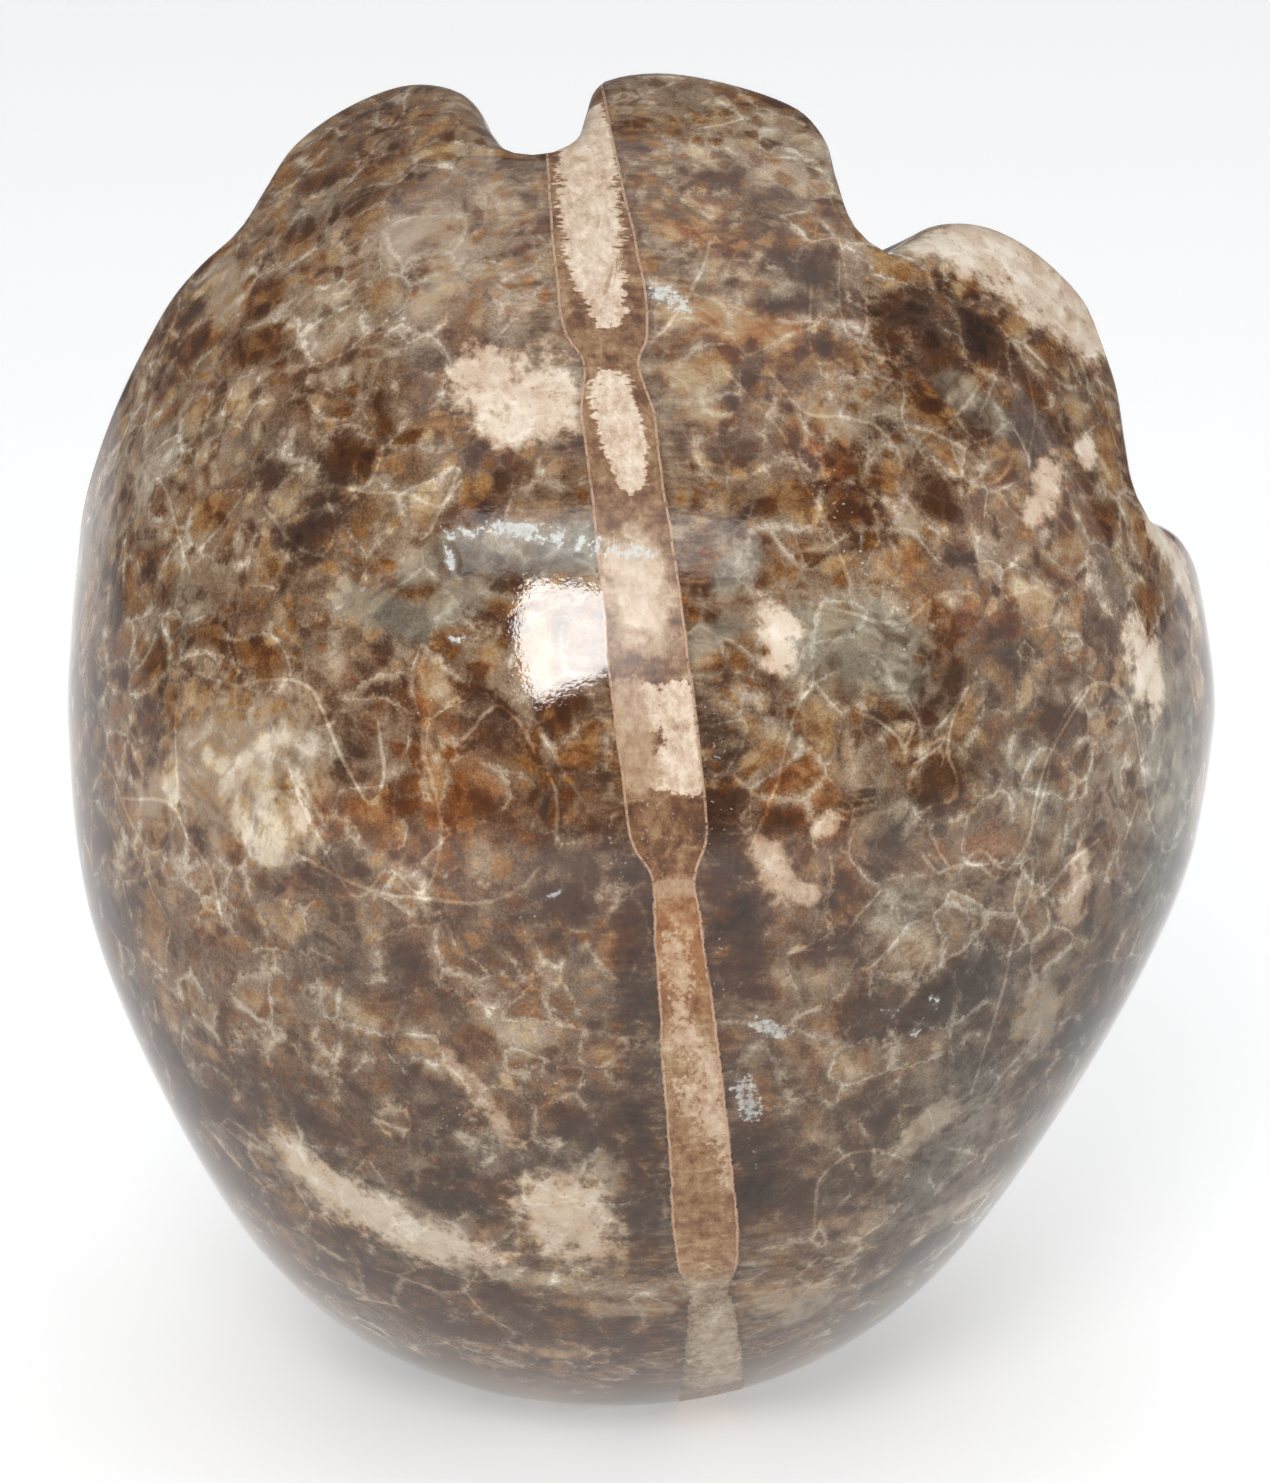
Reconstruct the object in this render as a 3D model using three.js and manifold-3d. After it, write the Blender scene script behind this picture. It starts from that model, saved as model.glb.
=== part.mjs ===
// A polished fossil ammonite: the chambered inner part of a globose, tightly coiled shell,
// now one solid piece of calcite. It stands on its rounded venter with the coil axis along X.
// The whorl grows from the bottom, up the front (-Y side), and ends at the top in the last
// septum, whose edge is folded into saddles (forward) and lobes (backward).
// Units are millimetres, +Z is up, and the origin is the middle of the small resting facet.

import * as THREE from 'three';
import { mergeVertices } from 'three/addons/utils/BufferGeometryUtils.js';
import Module from 'manifold-3d';

// --- Driving dimensions -------------------------------------------------------------------

const END_RADIUS = 37.8; // coil axis to venter at END_ANGLE
const END_ANGLE = 76; // degrees round the coil, 0 at the front and 90 at the top
const GROWTH_PER_TURN = 1.75; // every whorl is this many times the size of the one before

// Whorl section, in shares of the venter radius
const HALF_WIDTH = 0.738;
const WIDEST_AT = 0.289; // height above the coil axis where the whorl is widest
const DORSAL_DEPTH = 0.275; // from the widest line down towards the coil axis
const VENTRAL_ROUNDNESS = 2.165; // superellipse power of the outer half, 2 is an ellipse

// How full each flank is, [coil angle, share of HALF_WIDTH]: the polish took them unevenly
const LEFT_FULLNESS = [[-110, 0.925], [-50, 0.962], [-5, 1.03], [30, 1.003], [70, 0.95]];
const RIGHT_FULLNESS = [[-110, 0.918], [-75, 0.91], [-50, 0.962], [5, 1.125], [30, 1.116], [70, 1.04]];

// The siphuncle lies in a plane slightly askew to the coil: x + SLOPE_Y y + SLOPE_Z z = OFFSET
const SIPHUNCLE_OFFSET = 1.26;
const SIPHUNCLE_SLOPE_Y = 0.0645;
const SIPHUNCLE_SLOPE_Z = 0.101;

// Edge of the last septum: [degrees round the section from the siphuncle, degrees past END_ANGLE]
const SEPTUM_EDGE = [
  [-180, -38], [-115, -30], [-98, -22], [-88, -18.5], [-82, -19.5], [-75, -11], [-66, -8.6],
  [-56, -5.8], [-48, -3], [-42, -2.4], [-38, -2.3], [-34.8, 0.4], [-29.8, 5.4], [-22, 7.9],
  [-14.5, 7.7], [-9.4, 4.2], [-7.8, -1.3], [-5.6, -5.4], [-2.9, -6.1], [-0.3, -4.6],
  [1.3, -0.6], [2.9, 3.3], [7.5, 4.9], [14, 4.2], [21.4, 1.7], [23.9, -2], [24.5, -7],
  [25.6, -12], [27.6, -13.2], [31.4, -10.4], [35.2, -6.7], [41, -4], [48, -3.4],
  [54.6, -4.8], [58.2, -10], [59.7, -14], [59.5, -21], [59.4, -25.3], [60.6, -26.9],
  [69, -23.2], [77, -21.6], [85, -25], [93, -30], [106, -33], [125, -32], [180, -38],
];
const MM_AROUND = 0.5; // length of one degree round the section, near the end
const MM_ALONG = 0.65; // length of one degree of coil, near the end
const LIP_RADIUS = 1.6; // polish has rounded the septum's edge
const FLUTE_FADE = 0.62; // share of the way to the middle over which the folds die out
const SEPTUM_MIDDLE_HEIGHT = 0.62; // height of the septum's middle, share of the venter radius
const SEPTUM_MIDDLE_ANGLE = 72; // coil angle of the septum's middle

const FACET_CUT = 1.1; // depth ground off the lowest point, so that the piece stands
const FLOOR_SIDE = 60; // the block that is cut away below the facet
const FLOOR_THICKNESS = 20;
const INNER_TURNS = 0.97; // whorl modelled inside the last one, in turns
const JOIN_ANGLE = -238; // where the outer sweep starts and the inner one ends
const CORE_RADIUS = 3.2; // the first, tiny whorls, as one ball
const CORE_HALF_WIDTH = 5.5;

// --- Mesh fineness ------------------------------------------------------------------------

const VENTRAL_COLUMNS = 62; // round the outer side of the section
const DORSAL_COLUMNS = 10; // round the side that faces the coil axis
const VENTRAL_REACH = 112; // degrees either side of the siphuncle that count as ventral
const OUTER_STEP = 7; // degrees of coil between rings
const INNER_STEP = 11;
const LIP_STEPS = 3;
const SEPTUM_RINGS = 8;
const EDGE_POINTS = 4000; // along the folded edge, to pick the columns from
const CORE_SEGMENTS = 24; // round the ball of first whorls
const WELD = 1e-4; // vertices closer than this are one

const rad = THREE.MathUtils.degToRad;
const deg = THREE.MathUtils.radToDeg;

// Smooth curve through [x, y] knots that never overshoots them (monotone cubic)
function smoothProfile(knots) {
  const last = knots.length - 1;
  const width = (i) => knots[i + 1][0] - knots[i][0];
  const rise = (i) => (knots[i + 1][1] - knots[i][1]) / width(i);
  const slope = knots.map((_, i) => {
    if (i === 0 || i === last || rise(i - 1) * rise(i) <= 0) return 0;
    const before = 2 * width(i) + width(i - 1);
    const after = width(i) + 2 * width(i - 1);
    return (before + after) / (before / rise(i - 1) + after / rise(i));
  });
  return (x) => {
    if (x <= knots[0][0]) return knots[0][1];
    if (x >= knots[last][0]) return knots[last][1];
    const i = knots.findIndex((knot) => knot[0] > x) - 1;
    const t = (x - knots[i][0]) / width(i);
    const blend = t * t * (3 - 2 * t);
    const bend = slope[i] * t * (1 - t) ** 2 - slope[i + 1] * t * t * (1 - t);
    return knots[i][1] * (1 - blend) + knots[i + 1][1] * blend + width(i) * bend;
  };
}

const leftFullness = smoothProfile(LEFT_FULLNESS);
const rightFullness = smoothProfile(RIGHT_FULLNESS);

const venterRadius = (coil) => END_RADIUS * GROWTH_PER_TURN ** ((coil - END_ANGLE) / 360);

// A point of the whorl's outer surface. coil and around are in degrees; around is 0 at the
// venter and positive to the right (+X).
function shellPoint(coil, around) {
  const radius = venterRadius(coil);
  const side = Math.sin(rad(around));
  const up = Math.cos(rad(around));
  const power = 2 / (up > 0 ? VENTRAL_ROUNDNESS : 2);
  const fullness = side < 0 ? leftFullness(coil) : rightFullness(coil);
  const reach = up > 0 ? 1 - WIDEST_AT : DORSAL_DEPTH;
  const x = radius * HALF_WIDTH * fullness * Math.sign(side) * Math.abs(side) ** power;
  const height = radius * (WIDEST_AT + reach * Math.sign(up) * Math.abs(up) ** power);
  return new THREE.Vector3(x, -height * Math.cos(rad(coil)), height * Math.sin(rad(coil)));
}

// Where the siphuncle crosses the section, in degrees round it
function siphuncleAround(coil) {
  const venter = shellPoint(coil, 0);
  const x = SIPHUNCLE_OFFSET - SIPHUNCLE_SLOPE_Y * venter.y - SIPHUNCLE_SLOPE_Z * venter.z;
  return deg(Math.asin(x / (HALF_WIDTH * venterRadius(coil))));
}

// --- The folded edge of the last septum ---------------------------------------------------

// Columns of the sweep: evenly spaced along the folded edge on the ventral side, so that the
// steep walls of the lobes get as many as the flat tops of the saddles
function edgeColumns() {
  const points = SEPTUM_EDGE.map(([around, along]) =>
    new THREE.Vector3(around * MM_AROUND, along * MM_ALONG, 0));
  const curve = new THREE.CatmullRomCurve3(points, false, 'centripetal');
  curve.arcLengthDivisions = EDGE_POINTS / 2;
  const fine = curve.getSpacedPoints(EDGE_POINTS);
  const ventral = fine.filter((p) => Math.abs(p.x) <= VENTRAL_REACH * MM_AROUND);
  const columns = [];
  for (let i = 0; i < VENTRAL_COLUMNS; i++) {
    const k = Math.round((i * (ventral.length - 1)) / (VENTRAL_COLUMNS - 1));
    columns.push(ventral[k]);
  }
  for (let i = 1; i <= DORSAL_COLUMNS; i++) {
    const around = VENTRAL_REACH + (i * (360 - 2 * VENTRAL_REACH)) / (DORSAL_COLUMNS + 1);
    const wrapped = (around > 180 ? around - 360 : around) * MM_AROUND;
    columns.push(fine.reduce((a, b) => (Math.abs(b.x - wrapped) < Math.abs(a.x - wrapped) ? b : a)));
  }
  return columns;
}

const EDGE = edgeColumns();
const COLUMNS = EDGE.length;

// Direction across the edge, in the unrolled surface, pointing off the fossil
const ACROSS = EDGE.map((_, i) => {
  const before = EDGE[(i + COLUMNS - 1) % COLUMNS];
  const after = EDGE[(i + 1) % COLUMNS];
  if (Math.abs(after.x - before.x) > 180 * MM_AROUND) return new THREE.Vector2(0, 1);
  return new THREE.Vector2(before.y - after.y, after.x - before.x).normalize();
});

// Column i of the lip, as degrees round and along: back is how far it lies behind the edge
function lipPlace(i, back) {
  const around = (EDGE[i].x - ACROSS[i].x * back) / MM_AROUND;
  const coil = END_ANGLE + (EDGE[i].y - ACROSS[i].y * back) / MM_ALONG;
  return { around: around + siphuncleAround(coil), coil };
}

// --- Sweeps -------------------------------------------------------------------------------

// The ring that the outer and inner sweeps share
const JOIN_RING = EDGE.map((_, i) => lipPlace(i, LIP_RADIUS).around);

function outerRings() {
  const rings = [];
  const steps = Math.round((END_ANGLE - JOIN_ANGLE) / OUTER_STEP);
  for (let k = 0; k <= steps; k++) {
    rings.push(EDGE.map((_, i) => {
      const lip = lipPlace(i, LIP_RADIUS);
      return shellPoint(THREE.MathUtils.lerp(JOIN_ANGLE, lip.coil, k / steps), lip.around);
    }));
  }
  for (let k = 1; k <= LIP_STEPS; k++) {
    rings.push(EDGE.map((_, i) => {
      const turn = rad((90 * k) / LIP_STEPS);
      const place = lipPlace(i, LIP_RADIUS * (1 - Math.sin(turn)));
      return sunk(place, LIP_RADIUS * (1 - Math.cos(turn)));
    }));
  }
  return rings;
}

// A shell point moved into the fossil by a depth, towards the middle of the septum
function sunk(place, depth) {
  const point = shellPoint(place.coil, place.around);
  const middle = septumMiddle(place.coil);
  return point.add(middle.sub(point).setLength(depth));
}

function septumMiddle(coil) {
  const height = venterRadius(coil) * SEPTUM_MIDDLE_HEIGHT;
  return new THREE.Vector3(0, -height * Math.cos(rad(coil)), height * Math.sin(rad(coil)));
}

// Rings of the septum itself, from the lip to its middle: the folds fade inwards
function septumRings() {
  const rings = [];
  for (let k = 1; k < SEPTUM_RINGS; k++) {
    const inward = k / SEPTUM_RINGS;
    const fade = THREE.MathUtils.smoothstep(inward, 0, FLUTE_FADE);
    rings.push(EDGE.map((_, i) => {
      const edge = lipPlace(i, 0);
      const coil = THREE.MathUtils.lerp(edge.coil, SEPTUM_MIDDLE_ANGLE, fade);
      const start = sunk({ around: edge.around, coil }, LIP_RADIUS);
      return start.lerp(septumMiddle(coil), inward);
    }));
  }
  return rings;
}

function innerRings() {
  const rings = [];
  const span = 360 * INNER_TURNS;
  const steps = Math.round(span / INNER_STEP);
  for (let k = 0; k <= steps; k++) {
    const coil = JOIN_ANGLE - span + (span * k) / steps;
    rings.push(JOIN_RING.map((around) => shellPoint(coil, around)));
  }
  return rings;
}

// A closed body through the rings, with a fan at each end
function closedSweep(rings, startMiddle, endMiddle) {
  const positions = rings.flat().concat([startMiddle, endMiddle]).flatMap((p) => p.toArray());
  const start = rings.length * COLUMNS;
  const index = [];
  for (let k = 0; k + 1 < rings.length; k++) {
    for (let i = 0; i < COLUMNS; i++) {
      const a = k * COLUMNS + i;
      const b = k * COLUMNS + ((i + 1) % COLUMNS);
      index.push(a, b, b + COLUMNS, a, b + COLUMNS, a + COLUMNS);
    }
  }
  for (let i = 0; i < COLUMNS; i++) {
    const next = (i + 1) % COLUMNS;
    const lastRing = start - COLUMNS;
    index.push(start, next, i, start + 1, lastRing + i, lastRing + next);
  }
  const geometry = new THREE.BufferGeometry();
  geometry.setAttribute('position', new THREE.Float32BufferAttribute(positions, 3));
  geometry.setIndex(index);
  return geometry;
}

// --- Joining ------------------------------------------------------------------------------

const wasm = await Module();
wasm.setup();

function toSolid(geometry) {
  geometry.deleteAttribute('normal');
  geometry.deleteAttribute('uv');
  const merged = mergeVertices(geometry, WELD);
  return new wasm.Manifold(new wasm.Mesh({
    numProp: 3,
    vertProperties: merged.attributes.position.array,
    triVerts: new Uint32Array(merged.index.array),
  }));
}

function toGeometry(solid) {
  const mesh = solid.getMesh();
  const geometry = new THREE.BufferGeometry();
  geometry.setAttribute('position', new THREE.BufferAttribute(mesh.vertProperties, 3));
  geometry.setIndex(new THREE.BufferAttribute(mesh.triVerts, 1));
  geometry.computeVertexNormals();
  return geometry;
}

function sectionMiddle(coil) {
  const height = venterRadius(coil) * WIDEST_AT;
  return new THREE.Vector3(0, -height * Math.cos(rad(coil)), height * Math.sin(rad(coil)));
}

function buildFossil() {
  const outer = closedSweep(
    outerRings().concat(septumRings()),
    sectionMiddle(JOIN_ANGLE),
    septumMiddle(SEPTUM_MIDDLE_ANGLE),
  );
  const inner = closedSweep(
    innerRings(),
    sectionMiddle(JOIN_ANGLE - 360 * INNER_TURNS),
    sectionMiddle(JOIN_ANGLE),
  );
  const core = new THREE.SphereGeometry(1, CORE_SEGMENTS, (CORE_SEGMENTS * 2) / 3);
  core.scale(CORE_HALF_WIDTH, CORE_RADIUS, CORE_RADIUS);
  const whole = toSolid(outer).add(toSolid(inner)).add(toSolid(core));

  const lowest = lowestPoint();
  const floor = new THREE.BoxGeometry(FLOOR_SIDE, FLOOR_SIDE, FLOOR_THICKNESS);
  floor.translate(lowest.x, lowest.y, lowest.z + FACET_CUT - FLOOR_THICKNESS / 2);
  const fossil = toGeometry(whole.subtract(toSolid(floor)));
  fossil.translate(-lowest.x, -lowest.y, -lowest.z - FACET_CUT);
  return fossil;
}

// The spiral touches the ground a little in front of the coil axis
function lowestPoint() {
  const pitch = Math.atan(Math.log(GROWTH_PER_TURN) / (2 * Math.PI));
  return shellPoint(deg(pitch) - 90, 0);
}

// --- The part -----------------------------------------------------------------------------

const calcite = new THREE.MeshStandardMaterial({
  name: 'polished_calcite',
  color: 0x7d6a59,
  roughness: 0.18,
  metalness: 0,
});

const ammonite = new THREE.Mesh(buildFossil(), calcite);
ammonite.name = 'ammonite';

const group = new THREE.Group();
group.name = 'fossil_ammonite';
group.add(ammonite);

export default group;
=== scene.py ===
"""Looks of the fossil ammonite: the polished calcite shell, its light and its camera.

The fossil is one piece. It is swept here from the same whorl as the CAD node, on a finer grid,
and stands for that node. Lengths are millimetres until its mesh is finished, then metres.
A place on the shell is given as (coil, around): coil is degrees round the spiral, 0 at the
front and 90 at the top, and around is degrees round the whorl section from the siphuncle,
positive to the right.
"""

import math

import bpy
import numpy as np
from mathutils import Matrix, Vector, kdtree, noise


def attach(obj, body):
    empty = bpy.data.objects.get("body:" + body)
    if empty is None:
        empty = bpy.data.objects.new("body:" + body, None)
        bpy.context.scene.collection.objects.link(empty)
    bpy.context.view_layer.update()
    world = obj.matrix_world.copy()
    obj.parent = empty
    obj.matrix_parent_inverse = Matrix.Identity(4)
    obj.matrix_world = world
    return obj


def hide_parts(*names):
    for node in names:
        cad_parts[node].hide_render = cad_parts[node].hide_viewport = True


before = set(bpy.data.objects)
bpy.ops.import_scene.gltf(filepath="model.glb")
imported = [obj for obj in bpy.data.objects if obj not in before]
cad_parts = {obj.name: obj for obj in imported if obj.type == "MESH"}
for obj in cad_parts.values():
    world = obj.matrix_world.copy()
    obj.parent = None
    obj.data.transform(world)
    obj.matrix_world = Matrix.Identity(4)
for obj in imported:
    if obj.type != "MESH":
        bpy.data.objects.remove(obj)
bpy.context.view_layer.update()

METRES = 0.001  # one millimetre

# --- Shape of the whorl, as in the CAD part ---

END_RADIUS = 37.8
END_ANGLE = 76
GROWTH_PER_TURN = 1.75
HALF_WIDTH = 0.738
WIDEST_AT = 0.289
DORSAL_DEPTH = 0.275
VENTRAL_ROUNDNESS = 2.165
LEFT_FULLNESS = [(-110, 0.925), (-50, 0.962), (-5, 1.03), (30, 1.003), (70, 0.95)]
RIGHT_FULLNESS = [
    (-110, 0.918), (-75, 0.91), (-50, 0.962), (5, 1.125), (30, 1.116), (70, 1.04),
]
SIPHUNCLE_PLANE = (1.0, 0.0645, 0.101)  # normal of the plane that holds the siphuncle
SIPHUNCLE_OFFSET = 1.26
SEPTUM_EDGE = [
    (-180, -38), (-115, -30), (-98, -22), (-88, -18.5), (-82, -19.5), (-75, -11),
    (-66, -8.6), (-56, -5.8), (-48, -3), (-42, -2.4), (-38, -2.3), (-34.8, 0.4),
    (-29.8, 5.4), (-22, 7.9), (-14.5, 7.7), (-9.4, 4.2), (-7.8, -1.3), (-5.6, -5.4),
    (-2.9, -6.1), (-0.3, -4.6), (1.3, -0.6), (2.9, 3.3), (7.5, 4.9), (14, 4.2),
    (21.4, 1.7), (23.9, -2), (24.5, -7), (25.6, -12), (27.6, -13.2), (31.4, -10.4),
    (35.2, -6.7), (41, -4), (48, -3.4), (54.6, -4.8), (58.2, -10), (59.7, -14),
    (59.5, -21), (59.4, -25.3), (60.6, -26.9), (69, -23.2), (77, -21.6), (85, -25),
    (93, -30), (106, -33), (125, -32), (180, -38),
]
LIP_RADIUS = 1.6
FLUTE_FADE = 0.62
SEPTUM_MIDDLE_HEIGHT = 0.62
SEPTUM_MIDDLE_ANGLE = 72
FACET_CUT = 1.1
INNER_TURNS = 0.97
JOIN_ANGLE = -238
CORE_SIZE = (5.5, 3.2, 3.2)
MM_AROUND = 0.5  # length of one degree round the section, near the end
MM_ALONG = 0.65  # length of one degree of coil, near the end
VENTRAL_REACH = 112  # degrees either side of the siphuncle that count as ventral
FLOOR_BOX = (60, 60, 20)  # the block that is cut away below the facet

# --- Mesh fineness ---

VENTRAL_COLUMNS = 236
DORSAL_COLUMNS = 22
FRONT_FROM = -72  # the front of the fossil, from this coil angle on, has the closest rings
FRONT_STEP = 0.72
BACK_STEP = 1.5
LIP_STEPS = 7
SEPTUM_RINGS = 26
INNER_STEP = 3
SKIN_DEPTH = 0.08  # the fine skin stays this far inside the coarse CAD hull


def smooth_profile(knots, x):
    """The monotone cubic through (x, y) knots, flat at both ends."""
    kx, ky = np.array(knots, float).T
    width = np.diff(kx)
    rise = np.diff(ky) / width
    slope = np.zeros(len(kx))
    for i in range(1, len(kx) - 1):
        if rise[i - 1] * rise[i] > 0:
            before = 2 * width[i] + width[i - 1]
            after = width[i] + 2 * width[i - 1]
            slope[i] = (before + after) / (before / rise[i - 1] + after / rise[i])
    x = np.clip(x, kx[0], kx[-1])
    i = np.clip(np.searchsorted(kx, x, side="right") - 1, 0, len(width) - 1)
    t = (x - kx[i]) / width[i]
    blend = t * t * (3 - 2 * t)
    bend = slope[i] * t * (1 - t) ** 2 - slope[i + 1] * t * t * (1 - t)
    return ky[i] * (1 - blend) + ky[i + 1] * blend + width[i] * bend


def smoothstep(x, low, high):
    t = np.clip((np.asarray(x, float) - low) / (high - low), 0, 1)
    return t * t * (3 - 2 * t)


def venter_radius(coil):
    return END_RADIUS * GROWTH_PER_TURN ** ((np.asarray(coil, float) - END_ANGLE) / 360)


def fullness(coil, side):
    left = smooth_profile(LEFT_FULLNESS, coil)
    right = smooth_profile(RIGHT_FULLNESS, coil)
    return np.where(np.asarray(side) < 0, left, right)


def on_coil(x, height, coil):
    """Points at sideways distance x and height above the coil axis, at a coil angle."""
    turn = np.radians(coil)
    return np.stack(
        np.broadcast_arrays(x, -height * np.cos(turn), height * np.sin(turn)), axis=-1
    )


def shell_point(coil, section):
    """Points of the shell. section is degrees round the whorl section from its middle."""
    coil, section = np.broadcast_arrays(np.asarray(coil, float), np.asarray(section, float))
    radius = venter_radius(coil)
    side, up = np.sin(np.radians(section)), np.cos(np.radians(section))
    power = 2 / np.where(up > 0, VENTRAL_ROUNDNESS, 2)
    reach = np.where(up > 0, 1 - WIDEST_AT, DORSAL_DEPTH)
    x = radius * HALF_WIDTH * fullness(coil, side) * np.sign(side) * np.abs(side) ** power
    height = radius * (WIDEST_AT + reach * np.sign(up) * np.abs(up) ** power)
    return on_coil(x, height, coil)


def siphuncle_x(coil):
    """How far the siphuncle lies to the right of the whorl's middle, in mm."""
    venter = shell_point(coil, 0)
    _, slope_y, slope_z = SIPHUNCLE_PLANE
    return SIPHUNCLE_OFFSET - venter[..., 1] * slope_y - venter[..., 2] * slope_z


def siphuncle_section(coil):
    """Where the siphuncle crosses the section, in degrees round it."""
    return np.degrees(np.arcsin(siphuncle_x(coil) / (HALF_WIDTH * venter_radius(coil))))


def shell_place(coil, around):
    """Shell points given round from the siphuncle."""
    return shell_point(coil, np.asarray(around, float) + siphuncle_section(coil))


def marked_place(coil, around):
    """Like shell_place, from the middle of the siphuncle's cut where it really shows."""
    x = siphuncle_x(coil)
    share = x / (HALF_WIDTH * venter_radius(coil) * fullness(coil, x))
    middle = np.degrees(np.arcsin(np.sign(share) * np.abs(share) ** (VENTRAL_ROUNDNESS / 2)))
    return shell_point(coil, np.asarray(around, float) + middle)


def septum_middle(coil):
    return on_coil(0.0, venter_radius(coil) * SEPTUM_MIDDLE_HEIGHT, coil)


def lowest_point():
    """The spiral touches the ground a little in front of the coil axis."""
    pitch = math.atan(math.log(GROWTH_PER_TURN) / (2 * math.pi))
    return shell_point(math.degrees(pitch) - 90, 0)


LOWEST = lowest_point()
COIL_CENTRE = -LOWEST - np.array([0, 0, FACET_CUT])  # in the frame, where the facet is z = 0


# --- The folded edge of the last septum ---


def folded_curve(knots, steps=60):
    """A centripetal Catmull-Rom curve through knots, as many fine points."""
    p = np.array(knots, float)
    p = np.vstack([2 * p[0] - p[1], p, 2 * p[-1] - p[-2]])
    t = np.linspace(0, 1, steps, endpoint=False)[:, None]
    out = []
    for a, b, c, d in zip(p, p[1:], p[2:], p[3:]):
        da, db, dc = (math.sqrt(np.linalg.norm(v - u)) for u, v in ((a, b), (b, c), (c, d)))
        start = ((b - a) / da - (c - a) / (da + db) + (c - b) / db) * db
        end = ((c - b) / db - (d - b) / (db + dc) + (d - c) / dc) * db
        cubic, square = 2 * b - 2 * c + start + end, -3 * b + 3 * c - 2 * start - end
        out.append(((cubic * t + square) * t + start) * t + b)
    out.append(p[-2][None])
    return np.vstack(out)


def evenly_spaced(curve, count):
    """count points along a polyline, with equal steps."""
    along = np.concatenate([[0], np.cumsum(np.linalg.norm(np.diff(curve, axis=0), axis=1))])
    at = np.linspace(0, along[-1], count)
    return np.stack([np.interp(at, along, curve[:, k]) for k in range(2)], axis=1)


def edge_columns():
    """Columns of the sweep in unrolled millimetres, evenly spaced along the folded edge."""
    unrolled = [(around * MM_AROUND, along * MM_ALONG) for around, along in SEPTUM_EDGE]
    fine = folded_curve(unrolled)
    ventral = fine[np.abs(fine[:, 0]) <= VENTRAL_REACH * MM_AROUND]
    step = (360 - 2 * VENTRAL_REACH) / (DORSAL_COLUMNS + 1)
    around = VENTRAL_REACH + step * np.arange(1, DORSAL_COLUMNS + 1)
    wrapped = np.where(around > 180, around - 360, around) * MM_AROUND
    dorsal = np.stack([wrapped, np.interp(wrapped, fine[:, 0], fine[:, 1])], axis=1)
    return np.vstack([evenly_spaced(ventral, VENTRAL_COLUMNS), dorsal])


def across_edge(edge):
    """Unit direction across the edge at each column, pointing off the fossil."""
    before, after = np.roll(edge, 1, axis=0), np.roll(edge, -1, axis=0)
    normal = np.stack([before[:, 1] - after[:, 1], after[:, 0] - before[:, 0]], axis=1)
    normal[np.abs(after[:, 0] - before[:, 0]) > 180 * MM_AROUND] = (0, 1)
    return normal / np.linalg.norm(normal, axis=1, keepdims=True)


EDGE = edge_columns()
ACROSS = across_edge(EDGE)
COLUMNS = len(EDGE)


def lip(back):
    """(coil, section) of every column, back millimetres behind the folded edge."""
    place = EDGE - ACROSS * back
    coil = END_ANGLE + place[:, 1] / MM_ALONG
    return coil, place[:, 0] / MM_AROUND + siphuncle_section(coil)


# --- Sweeps ---

LIP_COIL, LIP_SECTION = lip(LIP_RADIUS)
FAN_FROM, FAN_TO = -120, 35  # over this stretch of coil the columns gather towards the folds


def even_sections():
    """Columns spread evenly round the section, away from the folded edge."""
    ventral = np.linspace(LIP_SECTION[0], LIP_SECTION[VENTRAL_COLUMNS - 1], VENTRAL_COLUMNS)
    return np.concatenate([ventral, LIP_SECTION[VENTRAL_COLUMNS:]])


EVEN_SECTION = even_sections()


def sunk(coil, section, depth):
    """Shell points moved into the fossil, towards the middle of the septum."""
    point = shell_point(coil, section)
    inward = septum_middle(coil) - point
    return point + depth * inward / np.linalg.norm(inward, axis=-1, keepdims=True)


def outer_rings():
    back = np.arange(JOIN_ANGLE, FRONT_FROM, BACK_STEP)
    front = np.arange(FRONT_FROM, END_ANGLE, FRONT_STEP)
    steps = np.concatenate([back, front, [END_ANGLE]])
    rings = []
    for nominal in steps:
        share = (nominal - JOIN_ANGLE) / (END_ANGLE - JOIN_ANGLE)
        gather = smoothstep(nominal, FAN_FROM, FAN_TO)
        coil = JOIN_ANGLE + share * (LIP_COIL - JOIN_ANGLE)
        section = EVEN_SECTION + gather * (LIP_SECTION - EVEN_SECTION)
        rings.append(shell_point(coil, section))
    for turn in np.linspace(0, math.pi / 2, LIP_STEPS + 1)[1:]:
        coil, section = lip(LIP_RADIUS * (1 - math.sin(turn)))
        rings.append(sunk(coil, section, LIP_RADIUS * (1 - math.cos(turn))))
    return rings


def septum_rings():
    """Rings of the septum, from the lip to its middle: the folds fade inwards."""
    edge_coil, section = lip(0)
    rings = []
    for inward in np.linspace(0, 1, SEPTUM_RINGS + 1)[1:-1]:
        fade = smoothstep(inward, 0, FLUTE_FADE)
        coil = edge_coil + fade * (SEPTUM_MIDDLE_ANGLE - edge_coil)
        start = sunk(coil, section, LIP_RADIUS)
        rings.append(start + inward * (septum_middle(coil) - start))
    return rings


def inner_rings():
    steps = round(360 * INNER_TURNS / INNER_STEP)
    coils = np.linspace(JOIN_ANGLE - 360 * INNER_TURNS, JOIN_ANGLE, steps + 1)
    return [shell_point(coil, EVEN_SECTION) for coil in coils]


def section_middle(coil):
    return on_coil(0.0, venter_radius(coil) * WIDEST_AT, coil)


def added(name, data):
    """A new object in the scene that shows some data."""
    thing = bpy.data.objects.new(name, data)
    bpy.context.scene.collection.objects.link(thing)
    return thing


def new_object(name, points, faces):
    mesh = bpy.data.meshes.new(name)
    mesh.from_pydata(points, [], faces)
    mesh.update()
    return added(name, mesh)


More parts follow.
